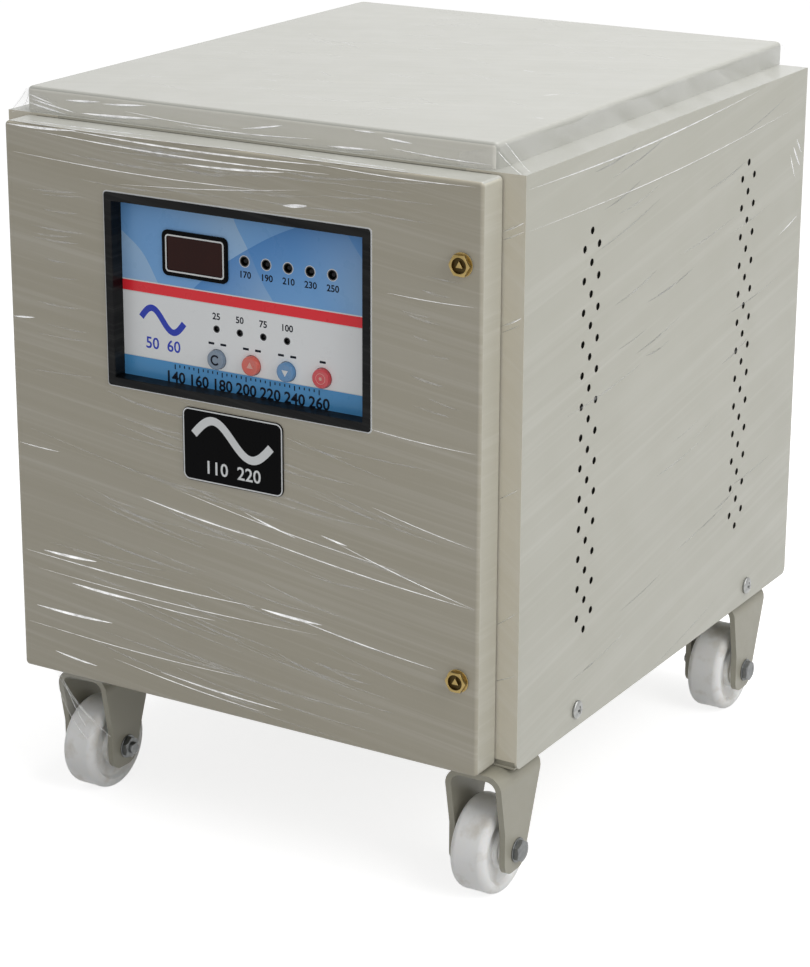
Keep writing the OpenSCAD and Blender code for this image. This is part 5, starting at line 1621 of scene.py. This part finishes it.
@dataclass
class Regulator:
    """The toroidal regulator with its brush arm, bridge and servo motor."""

    x: float = -83.98
    y: float = 218.0
    low: float = 88.5
    outer: float = 78.0
    inner: float = 38.0
    wind_low: float = 93.5
    wind_high: float = 169.5
    turns: int = 150
    wire: float = 0.75
    arm_top: float = 182.5
    brush_r: float = 62.0
    bridge_top: float = 201.5
    foot_y: float = 94.0

    def at(self, z: float) -> Matrix:
        """Gives the place on the regulator's axis at a height."""
        return Facing.TOP.at(self.x, self.y, z)

    def winding(self) -> None:
        """Winds the turns side by side round the taped core: close inside, spread outside."""
        tape = Solid(PRESSBOARD)
        deep = 2 * self.wire
        left, right = self.inner + deep, self.outer - deep
        low, high = self.wind_low, self.wind_high
        inner, outer = self.inner + 5, self.outer - 5
        section = [(left, low + 4), (inner, low + deep), (outer, low + deep), (right, low + 5)]
        section += [(right, high - 5), (outer, high - deep), (inner, high - deep), (left, high - 4)]
        tape.lathe(section + section[:1], self.at(0), 96)
        tape.done("regulator_core_tape", "copper_winding", "regulator_winding")
        turn = Solid(COPPER_WIRE)
        middle = (self.outer + self.inner) / 2
        loop = outline_box(self.outer - self.inner - deep, high - low - deep, 5.0, 2)
        turn.tube([(middle + px, 0, pz) for px, pz in loop], self.wire, 5, closed=True)
        places = [(self.x, self.y, (low + high) / 2)] * self.turns
        aims = [(0, 0, 360 * i / self.turns) for i in range(self.turns)]
        repeat_shape("regulator_wire_turns", turn, places, aims, "copper_winding", "regulator_winding",
                     smooth=80)
        dress("regulator_core", LAMINATIONS)

    def foot(self) -> None:
        """Turns the cast foot with its hollow pillar."""
        foot = Solid(CAST_ALLOY)
        profile = [(0, 0), (74, 0), (75, 1), (75, 4), (74, 5), (19, 5), (15.6, 6.5), (15, 9), (15, 75)]
        foot.lathe(profile + [(14, 76), (5.1, 76), (5.1, 5.2), (0, 5.2)], self.at(self.low), 64)
        foot.done("regulator_cast_foot", "cast_frame", "regulator_frame")

    def shaft(self) -> None:
        """Turns the shaft with its groove."""
        shaft = Solid(GROUND_STEEL)
        profile = [(0, 93.8), (4.4, 93.8), (5, 94.4), (5, 172.6), (4.7, 172.8), (4.7, 173.2), (5, 173.4)]
        shaft.lathe(profile + [(5, 209.6), (4.4, 210.2), (0, 210.2)], self.at(0), 40)
        shaft.done("regulator_ground_shaft", "shaft_steel", "regulator_shaft", body="brush_carrier")

    def bridge(self) -> None:
        """Bends the motor's bridge and screws it down."""
        bridge = Solid.copy_of("motor_bridge", ZINC)

        def top_bend(a: Vector, b: Vector) -> bool:
            """Picks the outer edges where the strip turns down."""
            return level(a, b) and near(a.y, b.y) and a.z > self.bridge_top - 0.1 and abs(a.y - self.y) > 80

        def foot_bend(a: Vector, b: Vector) -> bool:
            """Picks the lower edges where the strip turns out to its feet."""
            return level(a, b) and near(a.y, b.y) and a.z < self.low + 0.1 and 84 < abs(a.y - self.y) < 86

        bridge.round_edges(top_bend, 3.0, 5)
        bridge.round_edges(foot_bend, 2.4, 4)
        for y in (self.y - self.foot_y, self.y + self.foot_y):
            for side in (-20, 20):
                place = Facing.TOP.at(self.x + side, y, self.low + 3)
                bridge.lathe([(0, 0), (4.2, 0), (4.2, 1.4), (3.2, 2.6), (0, 2.9)], place, 24)
                # Each screw's slot is a thin black bar: painted shade
                bridge.slab(outline_box(5.2, 1.0, 0.2), shifted(place, 0, 0, 2.7), 0.12, finish=EPOXY_BLACK)
        bridge.done("motor_bent_bridge", "zinc_steel", "motor_bridge")

    def arm(self) -> None:
        """Shapes the brush arm with its holder and lead, and the pressed brush."""
        arm = Solid.copy_of("brush_arm", LAMINATE)
        arm.round_edges(lambda a, b: level(a, b) and math.hypot(a.x - self.x, a.y - self.y) > 12, 0.7)
        holder = Facing.TOP.at(self.x + self.brush_r, self.y, self.arm_top)
        arm.ring(outline_box(17, 15, 1.5), outline_box(10.3, 9.3, 0.4), holder, 1.6, BRASS)
        arm.washer(10, 5.1, 40, self.at(self.arm_top), 5.0, BRASS)
        start = (self.x + 9.5, self.y + 4.4, self.arm_top + 1.2)
        lead = [(start[0] + 5.6 * i, start[1], start[2] + 4.2 * math.sin(math.pi * i / 8)) for i in range(9)]
        arm.tube(lead, 0.7, finish=COPPER_WIRE)
        arm.done("brush_arm_moulded", "laminate", "brush_arm", body="brush_carrier")
        brush = Solid(CARBON)
        brush.box(*node_box("carbon_brush"), 0.5)
        brush.done("carbon_pressed_brush", "carbon", "carbon_brush", body="brush_carrier")

    def motor(self) -> None:
        """Turns the geared motor with its seams, screws and solder tabs."""
        motor = Solid(MOTOR_ENAMEL)
        gear = [(5.1, 0), (21.4, 0), (22, 0.6), (22, 13.4), (21.4, 14)]
        can = [(28.4, 14), (29.6, 14.6), (30, 15.6), (30, 22), (29.5, 22.4), (29.5, 23.4), (30, 23.8)]
        seam = [(30, 53), (29.5, 53.4), (29.5, 54.4), (30, 54.8), (30, 60)]
        cap = [(29.4, 61.4), (28, 62), (24, 62), (24, 63.2), (23.7, 63.5), (7, 63.5), (6.4, 62.6), (0, 62.6)]
        motor.lathe([(0, 9), (5.1, 9)] + gear + can + seam + cap, self.at(self.bridge_top), 64)
        top = self.bridge_top + 63.4
        for px, py in outline_round(18, 3, 30):
            screw = [(0, 0), (2.8, 0), (2.8, 1.0), (2.0, 1.9), (0, 2.1)]
            motor.lathe(screw, shifted(self.at(top), px, py, 0), 20, ZINC)
        for x in (self.x - 4, self.x + 4):
            motor.box((x - 1.4, self.y + 11.6, top - 0.1), (x + 1.4, self.y + 12.2, top + 6.1), 0.15, BRASS)
        motor.done("servo_enamelled_motor", "motor_case", "servo_motor")

    def build(self) -> None:
        """Builds the regulator."""
        self.winding()
        self.foot()
        self.shaft()
        self.bridge()
        self.arm()
        self.motor()


@dataclass
class Transformer:
    """The compensating transformer: stacked core, wound coil, clamp angles and tie bolts."""

    x: float = 99.94
    y: float = 218.0
    low: float = 91.5
    size: Triple = (126.0, 60.0, 105.0)
    coil: tuple[float, float, float, float] = (83.4, 100.0, 112.8, 175.2)
    limb: Pair = (21.6, 60.6)
    sheets: int = 30
    clamp: Triple = (22.0, 20.0, 3.0)
    ties: Triple = (52.5, 10.5, 94.5)

    def core(self) -> None:
        """Stacks the core: a solid middle with proud sheet edges round its outside."""
        wide, deep, tall = self.size
        core = Solid.copy_of("transformer_core", LAMINATIONS)
        middle = self.low + tall / 2
        for vertex in core.bm.verts:
            dx, dz = vertex.co.x - self.x, vertex.co.z - middle
            if abs(dx) > wide / 2 - 0.1:
                vertex.co.x -= math.copysign(0.5, dx)
            if abs(dz) > tall / 2 - 0.1:
                vertex.co.z -= math.copysign(0.5, dz)
        core.done("transformer_stacked_core", "core_steel", "transformer_core")
        sheet = Solid(LAMINATIONS)
        pitch = deep / self.sheets
        sheet.rim((wide, tall), (0, 3), (0.4, 0.4), UPRIGHT, pitch - 0.4, steps=1)
        places = [(self.x, self.y + deep / 2 - 0.2 - i * pitch, middle) for i in range(self.sheets)]
        repeat_shape("transformer_sheet_edges", sheet, places, [(90, 0, 0)], "core_steel", "transformer_core")

    def winding(self) -> None:
        """Winds the coil between two board flanges."""
        wide, deep, low, high = self.coil
        bobbin = Solid(PRESSBOARD)
        hole = outline_box(*self.limb, 0.6)
        for z in (low, high - 2):
            bobbin.ring(outline_box(wide, deep, 3.0), hole, Facing.TOP.at(self.x, self.y, z), 2.0)
        inner = Facing.TOP.at(self.x, self.y, low + 1.9)
        bobbin.ring(outline_box(wide - 3.4, deep - 3.4, 9.0), hole, inner, high - low - 3.8, TAPE)
        bobbin.done("transformer_coil_bobbin", "copper_winding", "transformer_coil")
        turn = Solid(COPPER_WIRE)
        loop = outline_box(wide - 3.2, deep - 3.2, 9.0, 5)
        turn.tube([(px, py, 0) for px, py in loop], 0.95, 6, closed=True)
        places = [(self.x, self.y, low + 3 + 2 * i) for i in range(int((high - low - 4) / 2))]
        repeat_shape("transformer_wire_turns", turn, places, [(0, 0, 0)], "copper_winding", "transformer_coil",
                     smooth=80)

    def clamps(self) -> None:
        """Bends the two clamp angles and sets the tie bolts through core and angles."""
        wide, deep, _ = self.size
        reach, tall, thick = self.clamp
        angles = Solid(ZINC)
        section = [(0, tall), *arc_path(3.5, 180, 270, 6, 3.5, 3.5), (reach, 0), (reach, thick)]
        section += [(thick + 0.8, thick), (thick, thick + 0.8), (thick, tall)]
        start = Facing.RIGHT.at(self.x - wide / 2, 0, self.low - thick)
        for sign in (-1, 1):
            outline = [(self.y + sign * (deep / 2 + u), v) for u, v in section]
            angles.slab(outline[::sign], start, wide)
        angles.done("transformer_bent_clamps", "zinc_steel", "transformer_clamps")
        side, near_z, far_z = self.ties
        for name, z, grip in (("lower", near_z, deep + 2 * thick + 0.1), ("upper", far_z, deep + 0.1)):
            bolt = hex_bolt(ZINC, 10, 4, (10, 0.0), (6, grip + 0.5))
            bolt.loft(hex_head(10, 0, 4), shifted(UPRIGHT, 0, 0, -grip) @ Matrix.Rotation(math.pi, 4, "X"))
            places = [(self.x + sign * side, self.y - grip / 2, self.low + z) for sign in (-1, 1)]
            piece = f"transformer_{name}_ties"
            repeat_shape(piece, bolt, places, [(90, 0, 0)], "zinc_steel", "transformer_clamps")

    def build(self) -> None:
        """Builds the transformer."""
        self.core()
        self.winding()
        self.clamps()


@dataclass
class Switchgear:
    """The plate with its rail, breaker and terminal block."""

    plate_y: float = 84.0
    low: float = 88.5
    breaker: Triple = (70.0, 32.5, 172.5)
    nose_y: float = 16.5
    block: Triple = (-50.0, 58.0, 130.5)
    block_width: float = 130.0
    ways: int = 6

    def mounts(self) -> None:
        """Bends the plate and softens the rail's edges."""
        plate = Solid.copy_of("switch_plate", BARE_PAINT)

        def bend(a: Vector, b: Vector) -> bool:
            """Picks the outer edge where the plate turns into its foot."""
            return all(near(p.y, self.plate_y) and near(p.z, self.low) for p in (a, b))

        def sides(a: Vector, b: Vector) -> bool:
            """Picks the long upright edges."""
            return near(a.x, b.x) and max(a.z, b.z) > self.low + 100 and abs(a.z - b.z) > 50

        plate.round_edges(bend, 2.2, 5)
        plate.round_edges(sides, 0.3, 2)
        plate.done("switch_bent_plate", "case_paint", "switch_plate")
        rail = Solid.copy_of("din_rail", ZINC)
        rail.round_edges(lambda a, b: abs(a.x - b.x) > 60, 0.25, 2)
        rail.done("rolled_rail", "zinc_steel", "din_rail")

    def switch(self) -> None:
        """Moulds the breaker's case with its clamp screws and plain marks, and its toggle."""
        x, face, z = self.breaker
        body = Solid.copy_of("breaker_body", BREAKER_GREY)
        outer = (x - 18.0, x + 18.0)
        body.round_edges(lambda a, b: any(near(a.x, side) and near(b.x, side) for side in outer), 0.7)
        screw = [(0, 0), (3.6, 0), (3.6, 0.3), (3.2, 0.5), (0, 0.5)]
        for up in (z - 32, z + 32):
            for across in (x - 9, x + 9):
                place = Facing.FRONT.at(across, face, up)
                body.washer(4.6, 3.7, 28, place, 0.5, sink=0.1)
                body.lathe(screw, place, 28, ZINC)
                # Each screw's cross slot is two thin black bars: painted shade
                for turn in (0, 90):
                    slot = Facing.FRONT.at(across, face - 0.45, up, turn)
                    body.slab(outline_box(4.6, 0.9, 0.2), slot, 0.1, finish=EPOXY_BLACK)
        nose = self.nose_y
        for low, high in ((-22.3, -17.5), (17.5, 22.3)):
            body.box((x - 0.25, nose - 0.05, z + low), (x + 0.25, nose + 0.6, z + high), 0.0, EPOXY_BLACK)
        for text, up in (("1", 19.8), ("0", -19.8)):
            for side in (-9, 9):
                body.letters(text, 3.0, Facing.FRONT.at(x + side, nose, z + up), EPOXY_BLACK)
        body.done("breaker_moulded_case", "breaker_case", "breaker_body")
        toggle = Solid.copy_of("breaker_toggle", BLACK_ABS)
        toggle.round_edges(lambda a, b: min(a.y, b.y) < 10.0, 0.6)
        toggle.done("breaker_moulded_toggle", "black_plastic", "breaker_toggle", body="toggle")

    def terminals(self) -> None:
        """Moulds the terminal block, makes its screws brass and lays a black bar of painted shade where each
        screw's slot is.
        """
        x, face, z = self.block
        block = Solid.copy_of("terminal_block", BLACK_ABS)
        block.round_edges(lambda a, b: near(a.y, face) and near(b.y, face), 0.4, 2)
        pitch = self.block_width / self.ways

        def well(c: Vector, middle: float) -> bool:
            """Picks the faces of the screw that sits at a distance along the block."""
            return math.hypot(c.x - middle, c.z - z) < 4.05 and face + 3 < c.y < face + 10

        for i in range(self.ways):
            at = x + (i + 0.5) * pitch - self.block_width / 2
            block.paint(lambda c, at=at: well(c, at), BRASS)
            # Each screw's slot is a thin black bar: painted shade
            slot = Facing.FRONT.at(at, face + 6.0, z, 20 + 31 * i)
            block.slab(outline_box(6.6, 1.1, 0.2), slot, 0.06, finish=EPOXY_BLACK, sink=0.05)
            block.letters(str(i + 1), 4.0, Facing.FRONT.at(at, face, z - 12.5), WHITE_INK)
        block.done("terminal_moulded_block", "black_plastic", "terminal_block")

    def build(self) -> None:
        """Builds the switchgear."""
        self.mounts()
        self.switch()
        self.terminals()


Folds = tuple[tuple[float, ...], ...]


def slack_line(start: Point, end: Point, sag: float) -> list[Vector]:
    """Gives seven points of a line that hangs down a little in its middle."""
    a, b = Vector(start), Vector(end)
    return [a.lerp(b, t / 6) - Vector((0, 0, sag * math.sin(math.pi * t / 6))) for t in range(7)]


@dataclass
class PackingFilm:
    """Clear stretch film round the object: folds that shine, fine wrinkles, and webs across its corners.

    Each fold is a line of a panel's plane: both ends and the greatest width, in mm.
    """

    seed: int = 11
    strand: float = 0.12
    door_y: float = DOOR_FACE - 0.03
    door_folds: Folds = (
        (-155, 173.6, -112, 173.6, 1.9), (-170, 171.4, 12.7, 167.4, 0.9), (17.3, 167, 63, 165.4, 1.8),
        (40, 166.2, 146, 153.2, 0.8), (-132.5, 154.6, -77, 152.9, 1.8), (-80, 152.8, -18.3, 151.6, 0.7),
        (-162.5, 133.2, -100.5, 132.8, 1.8), (-148.5, 103.1, -114, 99.5, 1.3),
        (-173, 458.6, -118, 459.6, 1.5), (-124, 459.4, 66, 458.4, 1.1), (60, 458.6, 170, 457.4, 0.7),
        (-75, 225.3, 20, 213.6, 1), (0, 216.4, 172, 197.6, 0.8), (6, 229.4, 44, 219.6, 1.1),
        (63, 224.8, 82, 221.4, 1.1), (72, 222.6, 172, 197.9, 0.7), (-62, 106.5, 33, 100.8, 1.1),
        (-100, 108, 20, 96, 0.6), (-36, 447.8, 38, 451, 1.3), (-84, 429.4, 50, 441.6, 0.5),
        (37, 430.5, 54, 432.4, 2.2), (-173, 331.8, -156, 333.2, 1.2), (-150, 456.2, 70, 453.4, 0.9),
        (-172, 246, -139, 244.6, 0.7), (-168, 441, 20, 438, 0.6), (-160, 160, 60, 158, 0.5),
        (95, 300, 172, 296, 0.5), (110, 386.5, 172, 385.8, 0.5), (100, 250, 172, 236, 0.5),
        (-170, 120.5, 10, 117, 0.5), (-50, 236, 120, 212, 0.5))
    cover_folds: Folds = (
        (-135, 464.2, -78, 466.4, 2.2), (-179, 467.5, -146, 462, 1.5), (-178, 473, -158, 468, 0.9),
        (-147, 471.5, -120, 473, 1.6), (-118, 472, -84, 474.4, 1.5), (-12, 467.3, 18, 472.4, 1.4),
        (50, 463.4, 86, 464.6, 1.8), (69, 475.2, 85, 475.2, 1), (90, 472.8, 110, 471.4, 1.5),
        (-60, 464.5, 40, 466.5, 0.9), (-176, 470, -140, 464, 1.2), (96, 467, 164, 464.4, 0.9),
        (-100, 469, -20, 466, 0.7))
    edge_folds: Folds = (
        (-172, -21.9, 10, -21.6, 2.6), (-168, -17, -60, -14, 1.4), (-20, -20, 150, -21, 1.2),
        (40, -14, 120, -17, 0.9))
    strip_folds: Folds = (
        (175, 427, 189, 434, 1.2), (175, 422, 189, 428.6, 0.8), (175, 369.6, 188, 376.4, 1.2),
        (175.5, 366, 187, 372, 0.6), (175, 262, 188, 270, 0.8), (175, 181, 188, 191, 0.7),
        (175, 144, 188, 150, 0.8))
    side_folds: Folds = (
        (391, 409, 403, 394, 1.6), (396, 414, 405, 403, 1.3), (386, 404, 396, 386, 0.8),
        (4, 453, 328, 459, 0.9), (5, 428, 384, 436, 0.5), (372, 350, 403, 358, 0.8))
    top_folds: Folds = (
        (92, 294.6, 100, 293, 1.6), (67, 221.6, 78, 217.4, 1.8), (120, 150, 129, 159, 1.6),
        (130, 164, 138, 168.6, 1.4), (148, 84.8, 156, 84, 1.4), (-144, 69.4, -117, 77.3, 0.9),
        (-61, 103.6, -50, 104.4, 1.5), (-120, 240, -60, 262, 0.6), (0, 60, 90, 96, 0.6))

    def fold(self, film: Solid, place: Matrix, line: Sequence[float], rise: float) -> None:
        """Lays one bunched fold: a low ridge that swells from nothing and dies away.

        Args:
            film: Solid that takes the fold.
            place: Matrix from the panel's plane to the drawing.
            line: Both ends in the panel's plane and the greatest width.
            rise: Height of the ridge.
        """
        start, end, width = Vector(line[:2]), Vector(line[2:4]), line[4]
        along = end - start
        side = Vector((-along.y, along.x)).normalized()
        loops = []
        for i in range(13):
            t = i / 12
            swell = max(math.sin(math.pi * t), 0.04) ** 0.7
            middle = start + along * t - side * along.length * 0.012 * math.sin(math.pi * t)
            half = side * width / 2 * swell
            crest = (*(middle - half * 0.2), rise * swell)
            loops.append([(*(middle + half), 0.0), crest, (*(middle - half), 0.0)])
        film.loft(loops, place)

    def folds(self, name: str, body: str, sets: Sequence[tuple[Matrix, Folds, float]]) -> None:
        """Lays all the folds of one body."""
        film = Solid(FILM_FOLD)
        for place, lines, rise in sets:
            for line in lines:
                self.fold(film, place, line, rise)
        film.done(name, "case_paint", body=body, smooth=80)

    def wrinkles(self, name: str, body: str, place: Matrix, size: Pair, count: int,
                 length: float, slope: Pair) -> None:
        """Scatters fine wrinkles over a panel by a Geometry Nodes tree with a fixed seed.

        Args:
            name: Name of the piece.
            body: The body that the panel is on.
            place: Matrix from the panel's middle to the drawing.
            size: Width and height of the panel's free face.
            count: About how many wrinkles it gets.
            length: Length of the longest wrinkle in mm.
            slope: Least and greatest slope in degrees.
        """
        ridge = Solid(FILM)
        self.fold(ridge, UPRIGHT, (-length / 2, 0, length / 2, 0, 1.3), 0.09)
        pattern = add_object("wrinkle", ridge.mesh("wrinkle"))
        width, height = size[0] - length, size[1]
        tree = Tree(name)
        item = tree.item(pattern)
        area = {"Size X": tree.value("Width", "Float", width)}
        area["Size Y"] = tree.value("Height", "Float", height)
        dense = tree.value("Density", "Float", count / (width * height))
        low = tree.value("Least slope", "Float", math.radians(slope[0]))
        high = tree.value("Greatest slope", "Float", math.radians(slope[1]))
        seed = tree.value("Seed", "Int", self.seed)
        panel = tree.add("GeometryNodeMeshGrid", {"Vertices X": 2, "Vertices Y": 2}, area)
        links = {"Mesh": panel.outputs["Mesh"], "Density": dense, "Seed": seed}
        spots = tree.add("GeometryNodeDistributePointsOnFaces", links=links)
        turn = tree.add("FunctionNodeRandomValue", {"data_type": "FLOAT"}, {2: low, 3: high, "Seed": seed})
        aim = tree.add("ShaderNodeCombineXYZ", links={"Z": turn.outputs[1]})
        spread = {"data_type": "FLOAT_VECTOR", 0: (0.25, 0.5, 1.0), 1: (1.0, 1.2, 1.0)}
        grow = tree.add("FunctionNodeRandomValue", spread, {"Seed": seed})
        tree.close(FILM, Points=spots.outputs["Points"], Instance=item, Rotation=aim.outputs["Vector"],
                   Scale=grow.outputs[0])
        piece = tree.grow(FILM)
        bpy.data.objects.remove(pattern)
        piece.data.transform(Matrix.Scale(MM, 4) @ Matrix.Translation(HOME) @ place)
        settle(piece, body, smooth=80)

    def web(self, film: Solid, near_line: Sequence[Point], far_line: Sequence[Point], sag: float) -> None:
        """Stretches one thin sheet between two lines, pulled in a little at its middle."""
        rows = [[film.bm.verts.new(p) for p in slack_line(a, b, sag)] for a, b in zip(near_line, far_line)]
        cells = [(p[i], p[i + 1], q[i + 1], q[i]) for p, q in zip(rows, rows[1:]) for i in range(6)]
        faces = [film.bm.faces.new(cell) for cell in cells]
        bmesh.ops.solidify(film.bm, geom=faces, thickness=0.06)

    def step_webs(self) -> None:
        """Closes the step between cover and case along both sides."""
        film = Solid(FILM_WEB)
        low, high = TOP_Z + 0.3, 477.2
        runs = [(22 + 37.8 * k, high - 0.6 - 1.6 * (k * 7 % 3)) for k in range(11)]
        for edge, case in ((-179.2, -189.7), (168.2, 189.7)):
            sign = math.copysign(1, edge)
            inner, outer = edge - 24 * sign, case - 0.3 * sign
            near_line = [(edge - 26 * sign, 4.8, low + 7), (edge, 4.8, high - 1)]
            near_line += [(edge, y, z) for y, z in runs] + [(edge, 414.8, high), (inner, 414.9, high - 6)]
            far_line = [(inner, 2.0, low), (outer, 0.6, low)]
            far_line += [(case, y, low) for y, _ in runs] + [(outer, 409.4, low), (inner, 409.6, low)]
            self.web(film, near_line, far_line, 1.2)
        film.done("film_corner_webs", "case_paint", smooth=60)

    def step_strands(self) -> None:
        """Stretches single strands over the step at three corners."""
        film = Solid(FILM_FOLD)
        for start, end in (((-179.3, 4.7, 474), (-189, 0.8, 461)), ((-179.4, 10, 476.8), (-189.6, 16, 461)),
                           ((-178, 4.7, 468), (-186, -1.2, 460.8)), ((-179.3, 22, 476.5), (-189.6, 40, 461)),
                           ((168.4, 4.7, 473), (188, 0.8, 461)), ((168.5, 14, 476.5), (189, 9, 461)),
                           ((168.5, 412, 476), (188.6, 407, 461))):
            film.tube(slack_line(start, end, 0.9), self.strand, 6)
        film.done("film_corner_strands", "case_paint", smooth=80)

    def caster_film(self) -> None:
        """Lays strands and a thin patch over the front left caster."""
        film = Solid(FILM_FOLD)
        curves = (((-152, -17, 82), (-131, -20.5, 64), (-112.9, -13, 45)),
                  ((-153, -16.5, 74), (-138, -23, 58), (-122, -26.5, 46)),
                  ((-148, -17.5, 81), (-136, -21.5, 66), (-125, -24, 54)),
                  ((-150, -17.5, 83), (-134, -20.5, 68), (-119, -20.5, 57)))
        for curve in curves:
            a, b, c = (Vector(point) for point in curve)
            pull = b * 2 - (a + c) / 2
            shares = [i / 10 for i in range(11)]
            path = [a * (1 - t) ** 2 + pull * 2 * t * (1 - t) + c * t * t for t in shares]
            film.tube(path, self.strand, 6)
        film.done("film_caster_strands", "caster_paint", smooth=80)
        patch = Solid(FILM_WEB)
        self.web(patch, curves[1], ((-152, -17, 82), (-131, -20.5, 64), (-118, -19.5, 52)), 0.2)
        fork_edge = ((-157, -17, 86.6), (-128, -17, 86.8), (-96, -17, 86.8))
        self.web(patch, fork_edge, ((-150, -19, 82.5), (-128, -18.6, 83.8), (-98, -17.4, 86.2)), 0.0)
        patch.done("film_caster_patch", "caster_paint", smooth=60)

    def build(self) -> None:
        """Builds the film."""
        front, top = Facing.FRONT, Facing.TOP
        self.folds("film_door_folds", "door", (
            (front.at(0, self.door_y, 0), self.door_folds, 0.35),
            (top.at(0, 0, 460.5), self.edge_folds, 0.35)))
        self.folds("film_case_folds", "case", (
            (front.at(0, 4.97, 0), self.cover_folds, 0.35), (front.at(0, -0.03, 0), self.strip_folds, 0.35),
            (Facing.RIGHT.at(RIGHT + 0.03, 0, 0), self.side_folds, 0.35),
            (top.at(0, 0, 477.68), self.top_folds, 0.12)))
        y, z, side = CAB_D / 2, (BASE_Z + TOP_Z) / 2, (402, 366)
        for name, body, place, size, count, length, slope in (
                ("door_low", "door", front.at(0, self.door_y, 192), (346, 200), 70, 130, (-13, -1)),
                ("door_high", "door", front.at(0, self.door_y, 441), (346, 30), 26, 110, (-3, 4)),
                ("door_left", "door", front.at(-136, self.door_y, 360), (74, 126), 12, 60, (-3, 4)),
                ("door_right", "door", front.at(136, self.door_y, 350), (70, 110), 9, 40, (-12, -2)),
                ("right", "case", Facing.RIGHT.at(RIGHT, y, z), side, 26, 120, (3, 12)),
                ("left", "case", Facing.LEFT.at(-RIGHT, y, z), side, 26, 120, (-12, -3)),
                ("rear", "case", Facing.REAR.at(0, CAB_D, z), (330, 366), 50, 110, (-12, 8)),
                ("top", "case", top.at(-5.5, 210, 477.7), (330, 390), 50, 60, (-40, 50))):
            self.wrinkles(f"film_{name}_wrinkles", body, place, size, count, length, slope)
        self.step_webs()
        self.step_strands()
        self.caster_film()


def main() -> None:
    """Builds the studio and every sub-assembly, in order."""
    logging.basicConfig(level=logging.INFO, format="%(message)s")
    for part in (Studio, CaseShell, Casters, Door, Display, RearFittings, Regulator, Transformer, Switchgear,
                 PackingFilm):
        part().build()


if __name__ == "__main__":
    main()
